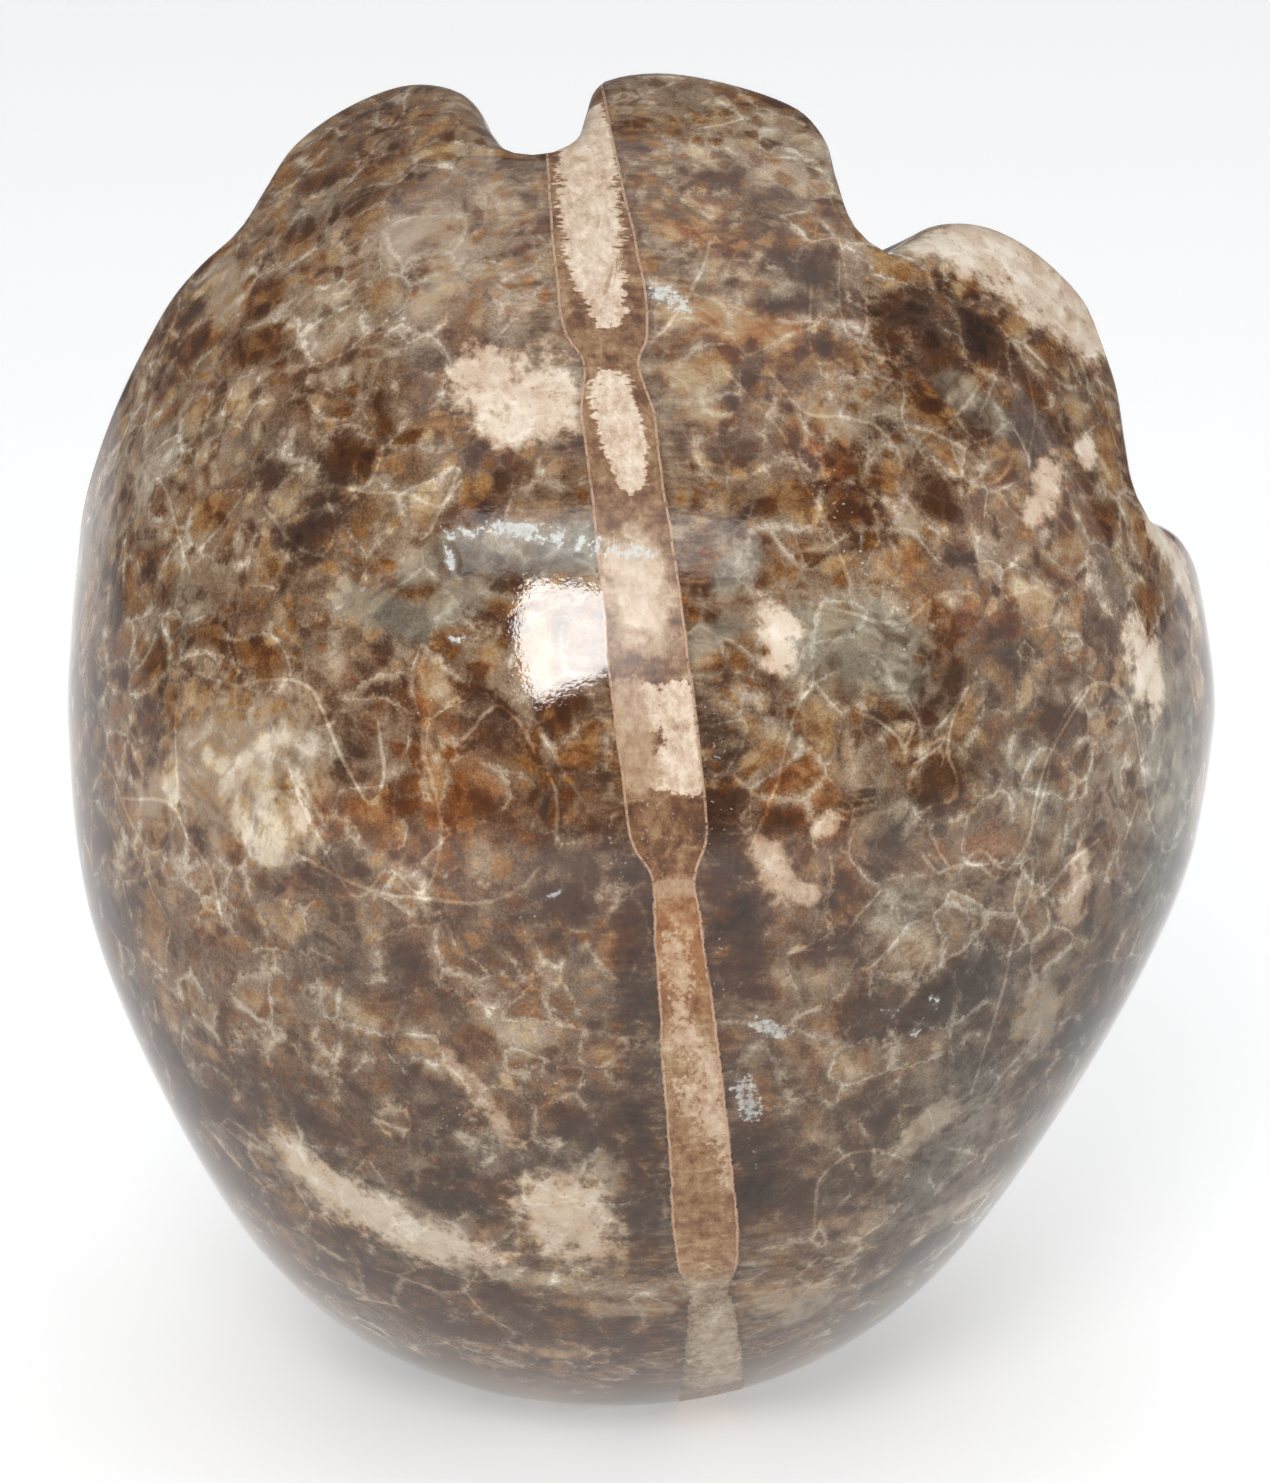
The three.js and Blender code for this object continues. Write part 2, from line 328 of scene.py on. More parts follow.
def closed_sweep(name, rings, start_middle, end_middle):
    """A closed body through the rings, with a fan at each end."""
    points = np.vstack([*rings, start_middle[None], end_middle[None]])
    i = np.arange(COLUMNS)
    after = (i + 1) % COLUMNS
    faces = []
    for k in range(len(rings) - 1):
        a, b = k * COLUMNS + i, k * COLUMNS + after
        faces += np.stack([a, b, b + COLUMNS, a + COLUMNS], axis=1).tolist()
    start, last = len(rings) * COLUMNS, (len(rings) - 1) * COLUMNS
    faces += np.stack([np.full(COLUMNS, start), after, i], axis=1).tolist()
    faces += np.stack([np.full(COLUMNS, start + 1), last + i, last + after], axis=1).tolist()
    return new_object(name, points.tolist(), faces)


def core_ball():
    """The first, tiny whorls."""
    bpy.ops.mesh.primitive_ico_sphere_add(subdivisions=4, radius=1)
    ball = bpy.context.object
    ball.data.transform(Matrix.Diagonal((*CORE_SIZE, 1)))
    return ball


def combined(body, tool, operation):
    """body joined with or cut by tool, as one closed mesh."""
    change = body.modifiers.new("combine", "BOOLEAN")
    change.operation, change.solver, change.object = operation, "MANIFOLD", tool
    bpy.context.view_layer.update()
    result = body.evaluated_get(bpy.context.evaluated_depsgraph_get())
    mesh = bpy.data.meshes.new_from_object(result)
    body.modifiers.clear()
    body.data = mesh
    bpy.data.objects.remove(tool)
    return body


def fossil_shape():
    """The whole fossil as one closed object in the frame, in millimetres."""
    shell = closed_sweep(
        "ammonite_shell",
        outer_rings() + septum_rings(),
        section_middle(JOIN_ANGLE),
        septum_middle(SEPTUM_MIDDLE_ANGLE),
    )
    inner = closed_sweep(
        "inner_whorl",
        inner_rings(),
        section_middle(JOIN_ANGLE - 360 * INNER_TURNS),
        section_middle(JOIN_ANGLE),
    )
    combined(shell, inner, "UNION")
    combined(shell, core_ball(), "UNION")
    bpy.ops.mesh.primitive_cube_add(size=1)
    ground = bpy.context.object
    ground.data.transform(Matrix.Diagonal((*FLOOR_BOX, 1)))
    top = Vector(LOWEST) + Vector((0, 0, FACET_CUT - FLOOR_BOX[2] / 2))
    ground.data.transform(Matrix.Translation(top))
    combined(shell, ground, "DIFFERENCE")
    shell.data.transform(Matrix.Translation(COIL_CENTRE))
    return shell


# --- Where a vertex lies on the shell ---

ON_SHELL = 0.06  # mm under the shell within which a point still counts as on it
FACE_TURN = 15  # a point under the shell is on the last septum from this angle upwards
PAST_END = 12  # degrees ahead of END_ANGLE where the last whorl is surely over
NEVER = 1e3  # a miss, in mm, that is never the smallest


def section_level(points, coil):
    """(level, section): level is 1 on the shell and less inside, section is degrees round it."""
    radius = venter_radius(coil)
    x = points[:, 0] / (radius * HALF_WIDTH * fullness(coil, points[:, 0]))
    height = np.hypot(points[:, 1], points[:, 2]) / radius - WIDEST_AT
    up = height / np.where(height > 0, 1 - WIDEST_AT, DORSAL_DEPTH)
    power = np.where(height > 0, VENTRAL_ROUNDNESS, 2.0)
    across, along = np.abs(x) ** power, np.abs(up) ** power
    level = (across + along) ** (1 / power)
    section = np.degrees(np.arctan2(np.sign(x) * np.sqrt(across), np.sign(up) * np.sqrt(along)))
    return level, section


def places(points):
    """(coil, around, depth) of points given from the coil's centre. depth is mm under the shell."""
    turn = np.degrees(np.arctan2(points[:, 2], -points[:, 1]))
    found = []
    for whorl in (0, -360, -720):
        coil = turn + whorl
        level, section = section_level(points, coil)
        depth = (1 - level) * venter_radius(coil) * (1 - WIDEST_AT)
        found.append(np.stack([coil, section - siphuncle_section(coil), depth]))
    miss = np.abs([depth for _, _, depth in found])
    miss[0][turn > END_ANGLE + PAST_END] = NEVER
    nearest = miss.argmin(axis=0)
    on_septum = (miss.min(axis=0) > ON_SHELL) & (turn > FACE_TURN)
    nearest[on_septum] = 0
    return np.array(found)[nearest, :, np.arange(len(points))].T


# --- Lines on the shell: the siphuncle's walls and the sutures ---

SEPTUM_STEP = 40.2  # degrees of coil from one septum to the next
NECKS = [48, 9, -31.8] + [-31.8 - SEPTUM_STEP * k for k in range(1, 9)]

# The siphuncle's cut, which narrows where it passes through each septum
TUBE_FRONT = [  # coil angle, half width in mm
    (-31.8, 0.85), (-30.5, 0.95), (-28, 1.32), (-23, 1.46), (-18.6, 1.42), (-12, 1.33),
    (-6, 1.28), (-1, 1.17), (4, 1.06), (7.1, 0.99), (8.1, 0.87), (9.2, 0.9), (10, 1.08),
    (11.2, 1.5), (12.3, 1.7), (14.2, 1.76), (20.7, 1.79), (28.7, 1.72), (35, 1.65),
    (39.8, 1.58), (43.8, 1.66), (45.5, 1.44), (47, 1.2), (48, 1.2), (50, 1.78),
    (53.4, 1.96), (58.8, 1.86), (68.8, 1.56), (80, 1.5),
]
TUBE_CHAMBER = [  # share of the way up a chamber, share of the venter radius
    (0, 0.026), (0.04, 0.036), (0.1, 0.05), (0.4, 0.052), (0.8, 0.04), (0.97, 0.032),
]
WALL_WANDER = 0.07  # mm that the walls wander sideways
TUBE_NEAR = 7  # mm from the siphuncle beyond which its exact distance doesn't matter
WALL_SPAN = (JOIN_ANGLE - 60, END_ANGLE + 10, 0.6)  # coil from, to and step of the wall's points

# A suture, right half: degrees from the siphuncle, degrees ahead of the neck
SUTURE = [
    (0, 0), (2.8, 0.8), (5.5, 3.2), (8.2, 6.8), (10.1, 10.5), (11.7, 12.8), (13.9, 14),
    (16.2, 14.2), (17.3, 12), (18.7, 12.8), (20.2, 13), (22, 11.5), (22.5, 10),
    (21.7, 6.8), (21.7, 3.5), (22.6, 1.5), (23.4, 0.2), (25, -0.8), (26.4, 0.2),
    (28, 0.8), (30.3, -0.8), (32.2, -1.2), (34, 1), (37, 5.8), (38.8, 10.5),
    (41.3, 13.8), (44.3, 16.2), (49.1, 16.8), (51.8, 14.8), (53.4, 12.2), (54.3, 5.8),
    (56, 2), (60, -1), (64, 2), (68, 8), (74, 11), (82, 9), (88, 3), (95, 0),
    (105, 4), (120, 6), (180, 8),
]
SUTURE_WANDER = 1.6  # degrees that each suture strays from the pattern
SUTURE_REACH = 62  # degrees of coil either side within which a suture is the next one
SUTURE_FAR = 50.0  # mm, for a suture that is further away
SUTURE_FREE_END = 4  # mm that keeps the last suture's line off the septum's rounded edge
LINE_STEPS = 16  # points between two knots of a suture
LINE_SPLIT = 4  # tree points for each of those


def coil_length(coil):
    """Millimetres along the venter up to a coil angle."""
    return venter_radius(coil) * 2 * math.pi / math.log(GROWTH_PER_TURN)


def tube_half_width(coil):
    coil = np.asarray(coil, float)
    share = np.mod(coil - NECKS[2], SEPTUM_STEP) / SEPTUM_STEP
    chamber = smooth_profile(TUBE_CHAMBER + [(1, TUBE_CHAMBER[0][1])], share)
    front = smooth_profile(TUBE_FRONT, coil)
    return np.where(coil < TUBE_FRONT[0][0], chamber * venter_radius(coil), front)


def wander(values, seed, size):
    """Smooth noise between -1 and 1 along a row of values."""
    return np.array([noise.noise(Vector((v / size, seed * 7.3, 0.5))) for v in values])


def to_segments(points, line):
    """Distance from each point to a polyline."""
    start, run = line[:-1], np.diff(line, axis=0)
    length = (run**2).sum(axis=1)
    nearest = np.empty(len(points))
    for rows in np.array_split(np.arange(len(points)), max(1, len(points) // 4000)):
        offset = points[rows, None] - start
        t = np.clip((offset * run).sum(axis=2) / length, 0, 1)
        nearest[rows] = np.linalg.norm(offset - t[..., None] * run, axis=2).min(axis=1)
    return nearest


def wall_distance(coil, across):
    """Millimetres from each vertex to the siphuncle's wall, negative inside it."""
    rough = np.abs(across) - tube_half_width(coil)
    near = rough < TUBE_NEAR
    points = np.stack([across[near], coil_length(coil[near])], axis=1)
    at = np.arange(*WALL_SPAN)
    lines = []
    for side in (-1, 1):
        stray = WALL_WANDER * (wander(at, 3 + side, 2.1) + 0.6 * wander(at, 5 + side, 0.8))
        x = side * (tube_half_width(at) + stray)
        lines.append(np.stack([x, coil_length(at)], axis=1))
    left, right = (np.interp(coil[near], at, line[:, 0]) for line in lines)
    inside = (points[:, 0] > left) & (points[:, 0] < right)
    exact = np.minimum(*(to_segments(points, line) for line in lines))
    distance = rough.copy()
    distance[near] = np.where(inside, -exact, exact)
    return distance


def suture_line(neck, seed):
    """(coil, around) along one suture, from one side of the section to the other."""
    half = folded_curve(SUTURE, LINE_STEPS)
    both = np.vstack([half[:0:-1] * (-1, 1), half])
    depth = 1 + 0.12 * math.sin(seed * 2.4)
    around = both[:, 0] + SUTURE_WANDER * wander(both[:, 0] + 400 * seed, seed, 17)
    ahead = both[:, 1] * depth + SUTURE_WANDER * wander(both[:, 0], seed + 20, 11)
    around[np.abs(both[:, 0]) > 179] = both[np.abs(both[:, 0]) > 179, 0]
    return np.stack([neck + ahead, around], axis=1)


def last_edge():
    """The edge of the last septum in the same form as suture_line."""
    fine = folded_curve(SEPTUM_EDGE, LINE_STEPS)
    return np.stack([END_ANGLE + fine[:, 1], fine[:, 0]], axis=1)


def is_ahead(coil, around, line):
    """Whether each place lies ahead of a suture: its line is crossed an odd number of times."""
    ahead = np.zeros(len(coil), bool)
    for (coil_a, around_a), (coil_b, around_b) in zip(line, line[1:]):
        low, high = sorted((around_a, around_b))
        between = np.flatnonzero((around > low) & (around <= high))
        if len(between):
            share = (around[between] - around_a) / (around_b - around_a)
            crossed = coil_a + share * (coil_b - coil_a) < coil[between]
            ahead[between[crossed]] ^= True
    return ahead


def point_tree(points):
    """A search tree of the points."""
    tree = kdtree.KDTree(len(points))
    for k, point in enumerate(points):
        tree.insert(point, k)
    tree.balance()
    return tree


def suture_fields(points, coil, around):
    """(phase, gap). phase is whole on each suture; gap is mm between the ones either side."""
    lines = [suture_line(neck, k) for k, neck in enumerate(NECKS)][::-1] + [last_edge()]
    wrapped = np.mod(around + 180, 360) - 180
    behind = np.zeros(len(coil), int)
    distances = []
    for line in lines:
        stops = np.linspace(0, len(line) - 1, len(line) * LINE_SPLIT)
        fine = [np.interp(stops, np.arange(len(line)), line[:, k]) for k in (0, 1)]
        tree = point_tree(shell_place(*fine))
        distance = np.full(len(coil), SUTURE_FAR)
        for k in np.flatnonzero(np.abs(coil - line[:, 0].mean()) < SUTURE_REACH):
            distance[k] = tree.find(points[k])[2]
        distances.append(distance)
        behind += is_ahead(coil, wrapped, line)
    distances = np.array(distances)
    distances[-1] += SUTURE_FREE_END
    rows = np.arange(len(coil))
    last = len(lines) - 1
    a = distances[np.clip(behind - 1, 0, last), rows]
    b = distances[np.clip(behind, 0, last), rows]
    return behind + a / (a + b), a + b


# --- Markings: (coil, around) of both ends, and radius in mm ---

CREAM = [
    (46, -10.5, 45, -5.5, 1.9), (48, -12, 47, -9, 1.0), (49.5, -11.5, 47.5, -9.5, 0.6),
    (43, -9.5, 43, -7, 1.0), (48, -14.5, 47, -12, 0.35), (28.4, 10.6, 25.6, 10.8, 0.8),
    (28.2, 11.4, 27.4, 12.4, 0.6),
    (45.5, 42.5, 43, 41, 0.8), (43, 41, 41, 39.5, 0.8), (50.5, 49, 48.5, 48, 0.6),
    (31.5, 54.3, 27, 56, 1.3), (30.2, 56, 29, 57, 1.0), (10.8, 8, 8, 9.4, 0.8),
    (8, 9.4, 7.6, 12, 0.5), (12.8, 13.5, 13.5, 14.5, 0.55), (8.5, 43.3, 4, 42.6, 0.9),
    (-6, -21.8, -9.5, -18.6, 0.5), (-9.5, -18.5, -14, -16.4, 0.42),
    (-19.8, -43, -22.5, -39, 1.2), (-22.5, -39, -25, -33.4, 1.6),
    (-25, -33.4, -26.4, -27, 1.4), (-26.4, -27, -26.8, -21.4, 0.9),
    (-18.8, -14, -23.4, -14.4, 1.4), (-19.5, -11.2, -23.8, -10.6, 1.5),
    (64, 30.5, 68.8, 36, 0.9), (65, 35, 69.5, 39.5, 1.7), (65, 40, 69.5, 43, 2.0),
    (64.5, 44, 69.5, 47.3, 2.0), (64, 48, 68.5, 51, 1.7), (63, 51, 67, 54, 1.1),
    (45.8, 59, 47, 66, 0.9), (46, 66, 42, 70, 1.0),
]
TAN = [
    (18.5, -47.5, 19, -37.5, 3.0), (15, -46, 12.5, -39, 2.4), (20.8, -38, 18, -34.8, 1.5),
    (14.5, -58, 16, -52, 1.0), (-21, -44, -26.5, -26, 2.0), (-19, -12, -24, -11, 2.2),
    (69, -40, 62, -40, 1.1), (51, -56.3, 47.5, -54.7, 0.6),
    (54.2, -17, 56, -14.8, 0.8), (61.5, -19, 61.5, -14, 1.4), (57, -13.5, 59, -13, 0.9),
    (-4, 38, -10, 40, 1.1), (-30.5, 28, -30.5, 35, 1.0), (-33.3, -11, -33.5, -5, 0.6),
    (45, 17, 44, 19, 0.9), (37, 24, 36, 26, 0.7), (-5, 39, -8, 36, 0.8),
    (-17.8, 21.8, -14.2, 25.6, 0.9), (-34, 5.5, -36.5, 12, 1.1), (-39, 9.3, -38, 12, 0.8),
]
PALE = [
    (19, -47, 17, -43.5, 0.5), (17, -43.5, 19.8, -37.6, 0.6), (17.6, -39.5, 14.5, -39.4, 0.7),
    (14.5, -39.4, 11.6, -37.8, 0.6), (16.6, -35, 13.2, -35, 0.6), (15.4, -44.5, 11, -42, 0.6),
    (11, -42, 9.8, -39.4, 0.6), (20.6, -36, 19.4, -32.8, 0.6), (18, -53.4, 15, -53, 0.6),
    (-29, -20, -31, -2, 0.9), (-2, -36, -4, -30, 0.9), (6, 18, 0, 24, 0.9), (-4, 12, -9, 15, 0.8),
    (66, 36, 67, 44, 2.0), (67, 44, 65, 52, 1.8), (4, -22, 1, -19, 0.8),
    (-4, -26, -7, -23, 0.8), (-2, -18, -4, -14, 0.7), (10, -27, 8, -22, 0.7),
]
# Peachy tan in the siphuncle's filling; the large patch at coil 28.6 to 32 is where the highlight
# spreads on the rough filling, a painted highlight.
PEACH_AND_HIGHLIGHT = [
    (52.5, 5.5, 52.5, 9, 1.0), (51.8, 9, 51.4, 14, 0.9), (47, 5.5, 44, 7, 0.9),
    (32, -0.4, 28.6, -0.2, 2.0),
]
# Milky haze in the calcite; the patches at coil 28 to 34 left of the siphuncle, round the
# highlight, are a painted grey sheen of its reflection.
HAZE_AND_SHEEN = [
    (27, 13, 27, 21, 2.0), (26, 21, 24, 23, 1.0), (33, -16, 33.4, -3, 1.2),
    (26, 3, 28, 7, 0.6), (31, 7, 33, 9, 0.8), (50, 31, 48, 36, 1.0),
    (27, 60, 0, 62, 3.0), (30.5, -27, 28.5, -20, 1.0), (28.5, -20, 30.5, -13, 0.9),
    (32, -20, 33, -14, 0.8),
]
DARK = [
    (57, 33, 52, 26, 2.8), (41, 17.5, 38.5, 18, 1.9), (-26, -9.6, -26.3, -9.2, 0.45),
    (9, 4.6, 0, 5.8, 1.1), (9, -3, -17, -5.5, 1.0), (-20, 5.6, -14, 5, 1.2),
    (-20, -25.1, -19.2, -19.5, 1.4), (-2, 20.6, -3.5, 17.1, 1.4), (-2.8, 20.5, -2, 28.3, 1.4),
    (7.4, -9.1, 6, -8.6, 0.9), (20, 4.5, 12, 4, 1.0), (22.5, -14.4, 20, -13, 1.0),
    (13.6, 10, 13, 11.6, 0.6), (8, 14, 6.5, 17, 0.9), (3, 12, 4, 18, 0.9),
]
RUST = [
    (15, -31.4, 14.2, -14, 1.8), (18, -21, 17.2, -16, 1.5), (11.5, -24, 11, -20, 1.1),
    (22.5, -21.4, 20, -18, 0.9), (42.5, 16.8, 40, 18, 0.8), (32.2, 23, 29.8, 29, 1.4),
    (31, 27, 30, 35, 1.0), (16.5, 11.8, 11.8, 15.2, 1.7), (10.2, 19, 10.5, 33.8, 1.1),
    (60, 8.5, 56, 12, 1.4), (51, 9, 51.5, 15, 1.4),
]
# Chalky frosted spots; those on the ridge above the highlight, at coil 33 to 35, also stand in for
# its glare, a painted reflection.
FROST = [
    (35.2, -16.5, 34.8, -13, 0.25), (35.2, -12.5, 35.2, -9, 0.4), (35, -9, 34.2, -5.5, 0.5),
    (34.2, -5.5, 33.6, -2.3, 0.45), (33.6, -2.3, 33, 1.2, 0.4), (33.6, -16, 32.6, -15.8, 0.3),
    (27, -16.5, 27, -15.5, 0.3), (54, 4.2, 53, 6.2, 0.6), (-3, 6.2, -4, 8.6, 0.45),
    (-8.2, 4.4, -10.8, 5, 0.6), (-3.5, 18.6, -3.3, 19.4, 0.28), (-1.8, 20.4, -2, 21.4, 0.28),
    (-2, 24.1, -3.2, 24.3, 0.25), (-4.8, 21.5, -5.4, 22.2, 0.25),
    (7.8, -10.2, 7.4, -8.2, 0.2), (7.8, -10.4, 5.4, -10, 0.18),
]
SPECKS = [
    (23.2, -22.4, 21.8, -19.5, 0.8), (24, 4.3, 12, 4.6, 0.7), (14.5, -0.6, 12, -0.4, 1.4),
    (12, -4.4, 8, -4.2, 0.6), (8, -13, 4, -12, 0.8), (4, 3, -16, 5.4, 0.5),
    (-29, -14, -30, -8, 0.9), (-12, -25, -11, -19, 1.0), (-6, -17, -8, -10, 1.0),
    (39, 17, 30, 20, 0.8), (32, 22, 27, 24, 0.9),
]
SHOWN_SUTURES = [(16, 11, 16, 54, 8), (12, -14, 14, -60, 5), (54, 8, 54, 50, 4)]
TUBE_FILL = [
    (74, 0.8, 70.5, 0.9, 1.1), (70, 0.8, 62, 0, 1.55), (62, 0, 58, -0.2, 1.5),
    (57, -0.2, 54.5, 0, 1.25), (54, 0, 52, 0.3, 0.9), (45.8, -0.3, 42.5, 0, 1.1),
    (42.5, 0, 40.5, 0.2, 1.05), (40, 0.3, 38.6, 0.3, 0.75), (22.6, 1.8, 16.4, 2.1, 0.85),
    (22.6, -0.6, 21, -0.4, 0.7), (17.6, 0, 16.4, 0, 0.7), (4, -0.5, 0.6, -0.3, 0.75),
    (-1, -0.6, -3.8, -0.4, 0.6), (-3.8, 0, -6.2, 0.8, 0.6), (-6.2, 1.4, -12.4, 1.2, 0.85),
    (-11, 2.6, -18, 2.8, 0.6), (-8, -1.2, -10.5, -0.8, 0.5), (-36, 0.4, -52, 1, 1.6),
]
TUBE_TAN = [
    (63.5, 0, 60.5, 0.2, 0.36), (67, -0.6, 66, -0.4, 0.22), (57.3, 1.6, 56.2, 1.4, 0.2),
    (55.6, 0.5, 54.4, 0.6, 0.22), (22.6, -1.9, 16.6, -1.7, 1.0), (8.3, -1.4, 8.3, 1.4, 0.5),
]
VEIN_STEPS = 30  # points between two knots of a vein
VEINS = [  # thin pale cracks and suture lines: rows of (coil, around)
    [(26.2, 45.8), (22, 41.7), (17.8, 38.4), (13.5, 36.7), (11.5, 36.2), (8.5, 33.3),
     (7.8, 32), (9.2, 29.6), (9.2, 26.6), (8.8, 25.1), (10.5, 23.3), (12.5, 22.3),
     (15.8, 22.2), (18.5, 22.3), (20.2, 21.5), (21.2, 19.9), (21.5, 18.4)],
    [(26.2, 45.8), (26.2, 48.8), (25, 51.6), (20.2, 53.8), (16.8, 54.6), (11, 51.6)],
    [(18.5, 22.3), (19, 24.1), (18.5, 26.5), (20.8, 27.1), (23.5, 28.9)],
    [(14.2, 22.3), (14.5, 25), (15.2, 27.4), (17.2, 27.4), (18.5, 26.5)],
    [(11.5, 36.2), (7, 36.4), (3.8, 34.7)],
    [(10.2, 45.3), (8.5, 41.5), (6.2, 38.5), (3.8, 34.7), (-3.8, 32.4), (-8.8, 30.8),
     (-13, 29.7)],
    [(47.2, 9.3), (45.2, 11.1), (42.5, 13.5), (39.2, 14.6), (37, 16.1), (31.8, 18)],
    [(47, 13.5), (44.8, 15.5), (44.8, 19.8), (44, 23.9), (41.5, 24.4), (38.5, 21.8),
     (36, 20.7)],
    [(55.2, 17.7), (50.8, 16.9), (49.2, 17.2), (50.2, 20.6), (52.8, 22.6), (55.8, 23.2)],
    [(43.5, 30.4), (41.5, 31.4), (41.5, 33.4), (43.2, 36.1), (44.5, 37)],
    [(48, 26.4), (46.2, 27.4), (45.2, 28.6), (47.8, 31.8), (50.8, 34.4)],
    [(40.2, 23.8), (38.5, 24.8), (37, 26.6), (36, 28.5)],
    [(29.8, 14.2), (29, 19.4), (28.2, 22.3), (30, 24.5), (31.8, 28), (32, 33.5),
     (33.8, 38.5)],
    [(53.8, 41.2), (50.8, 41.4), (46, 39.7)],
    [(39.2, -35.6), (36, -32.8), (34.5, -29.2), (36.8, -27.7), (40.2, -28.7),
     (39, -23.9), (38.5, -20), (37.2, -16.4), (39.5, -14.6)],
    [(26.5, -46.9), (24.8, -41.7), (25, -37.6), (24, -32.3), (22, -31), (18.5, -29.5),
     (14.5, -26.5), (17, -24.9), (20.2, -25)],
    [(14.8, -62.4), (14.2, -53.5), (10.8, -51.2), (8.5, -48.5), (4, -47.5)],
    [(10, -35), (8.5, -30.7), (7.5, -26.6), (7.2, -21.6), (7, -16.6), (8, -12.8),
     (10, -10.3)],
    [(19.8, -16), (22, -12.8), (21, -11.1), (18.2, -9.7), (15.5, -8.3), (12.2, -8.7)],
    [(50.5, -54.1), (46.2, -50.8), (40, -48.6), (36.8, -47.4)],
    [(-23.8, 11.4), (-18.8, 12), (-16.5, 16.6), (-19.8, 22.7)],
]
FRONT_PATCHES = {"tube_tan": TUBE_TAN, "peach_and_highlight": PEACH_AND_HIGHLIGHT}  # kinds that only the front has
PATCHES = {
    "cream": CREAM, "tan": TAN, "haze_and_sheen": HAZE_AND_SHEEN, "dark": DARK, "rust": RUST, "frost": FROST,
    "specks": SPECKS, "shown": SHOWN_SUTURES, "pale": PALE,
}
HIDDEN_SEED = 11
FRONT_COIL, FRONT_AROUND = -66, 84  # the front: ahead of this coil, this far round each way
HIDDEN_COIL, HIDDEN_AROUND = (-255, 70), 100  # the same for the hidden patches
HIDDEN_PATCHES = {  # how many, and their largest radius in mm
    "cream": (46, 1.9), "tan": (20, 1.9), "haze_and_sheen": (22, 1.9), "dark": (26, 2.2),
    "rust": (24, 1.9), "frost": (24, 0.45), "specks": (18, 0.9), "shown": (26, 7.0),
    "pale": (60, 0.9),
}


def hidden_patches(count, largest, draw):
    """Patches of the same kinds for the sides and the back."""
    patches = []
    while len(patches) < count:
        coil, around = draw.uniform(*HIDDEN_COIL), draw.uniform(-HIDDEN_AROUND, HIDDEN_AROUND)
        turn, reach = draw.uniform(0, math.tau), draw.uniform(1, 5) * largest
        radius = draw.uniform(0.3, 1.0) * largest
        if coil > FRONT_COIL and abs(around) < FRONT_AROUND:
            continue  # the front has its own
        ends = (coil + reach * math.sin(turn), around + reach * math.cos(turn))
        patches.append((coil, around, *ends, radius))
    return patches


def hidden_tube_fill():
    """The siphuncle's pale filling in each chamber past the front."""
    return [(neck + 9, 0.6, neck + 28, -0.6, 0.85) for neck in NECKS[4:]]


def patch_field(points, patches):
    """1 on the middle line of a patch, 0 at its edge, and down to -1 outside."""
    field = np.full(len(points), -1.0)
    for coil_a, around_a, coil_b, around_b, radius in patches:
        a, b = marked_place(coil_a, around_a), marked_place(coil_b, around_b)
        t = np.clip((points - a) @ (b - a) / ((b - a) @ (b - a)), 0, 1)
        distance = np.linalg.norm(points - a - t[:, None] * (b - a), axis=1)
        field = np.maximum(field, 1 - distance / radius)
    return field


def vein_fields(points):
    """(side, gap): mm to the nearest vein, with a sign for the side of it, and without."""
    spots, runs = [], []
    for vein in VEINS:
        curve = folded_curve(vein, VEIN_STEPS)
        line = marked_place(curve[:, 0], curve[:, 1])
        spots.append(line[:-1])
        runs.append(np.diff(line, axis=0))
    spots, runs = np.concatenate(spots), np.concatenate(runs)
    tree = point_tree(spots)
    found = [tree.find(point) for point in points]
    nearest = np.array([index for _, index, _ in found])
    gap = np.array([distance for _, _, distance in found])
    offset = points - spots[nearest]
    side = (np.cross(runs[nearest], offset) * points).sum(axis=1)
    run = runs[nearest] / np.linalg.norm(runs[nearest], axis=1)[:, None]
    along = (offset * run).sum(axis=1)
    return np.sign(side) * np.sqrt(np.maximum(gap**2 - along**2, 0)), gap


def patch_fields(points):
    """One field for each kind of marking."""
    draw = np.random.default_rng(HIDDEN_SEED)
    found = {name: patch_field(points, patches) for name, patches in FRONT_PATCHES.items()}
    found["tube_fill"] = patch_field(points, TUBE_FILL + hidden_tube_fill())
    for name, patches in PATCHES.items():
        patches = patches + hidden_patches(*HIDDEN_PATCHES[name], draw)
        found[name] = patch_field(points, patches)
    found["vein_side"], found["vein_gap"] = vein_fields(points)
    return found


def set_attribute(mesh, name, values):
    layer = mesh.attributes.new(name, "FLOAT", "POINT")
    layer.data.foreach_set("value", np.asarray(values, np.float32))


def vertex_points(mesh):
    co = np.empty(len(mesh.vertices) * 3)
    mesh.vertices.foreach_get("co", co)
    return co.reshape(-1, 3)


# Slow random variation over the stone: the size of its patches in mm
SLOW_FIELDS = {
    "region": 7.0, "amber_region": 5.0, "grey_region": 4.0, "suture_region": 3.0,
    "sway_x": 3.2, "sway_y": 3.2, "sway_z": 3.2,
}
SLOW_SEED = 5
WAVES = 28  # in each field
WAVE_LENGTHS = (0.8, 2.4)  # shortest and longest, in sizes


def slow_fields(points):
    """Smooth random fields with mean 0 and spread 1, each a sum of plane waves."""
    draw = np.random.default_rng(SLOW_SEED)
    found = {}
    for name, size in SLOW_FIELDS.items():
        directions = draw.normal(size=(WAVES, 3))
        directions /= np.linalg.norm(directions, axis=1, keepdims=True)
        lengths = size * draw.uniform(*WAVE_LENGTHS, WAVES)
        turns = points @ (directions / lengths[:, None]).T + draw.uniform(0, 1, WAVES)
        found[name] = np.cos(math.tau * turns).sum(axis=1) * math.sqrt(2 / WAVES)
    return found


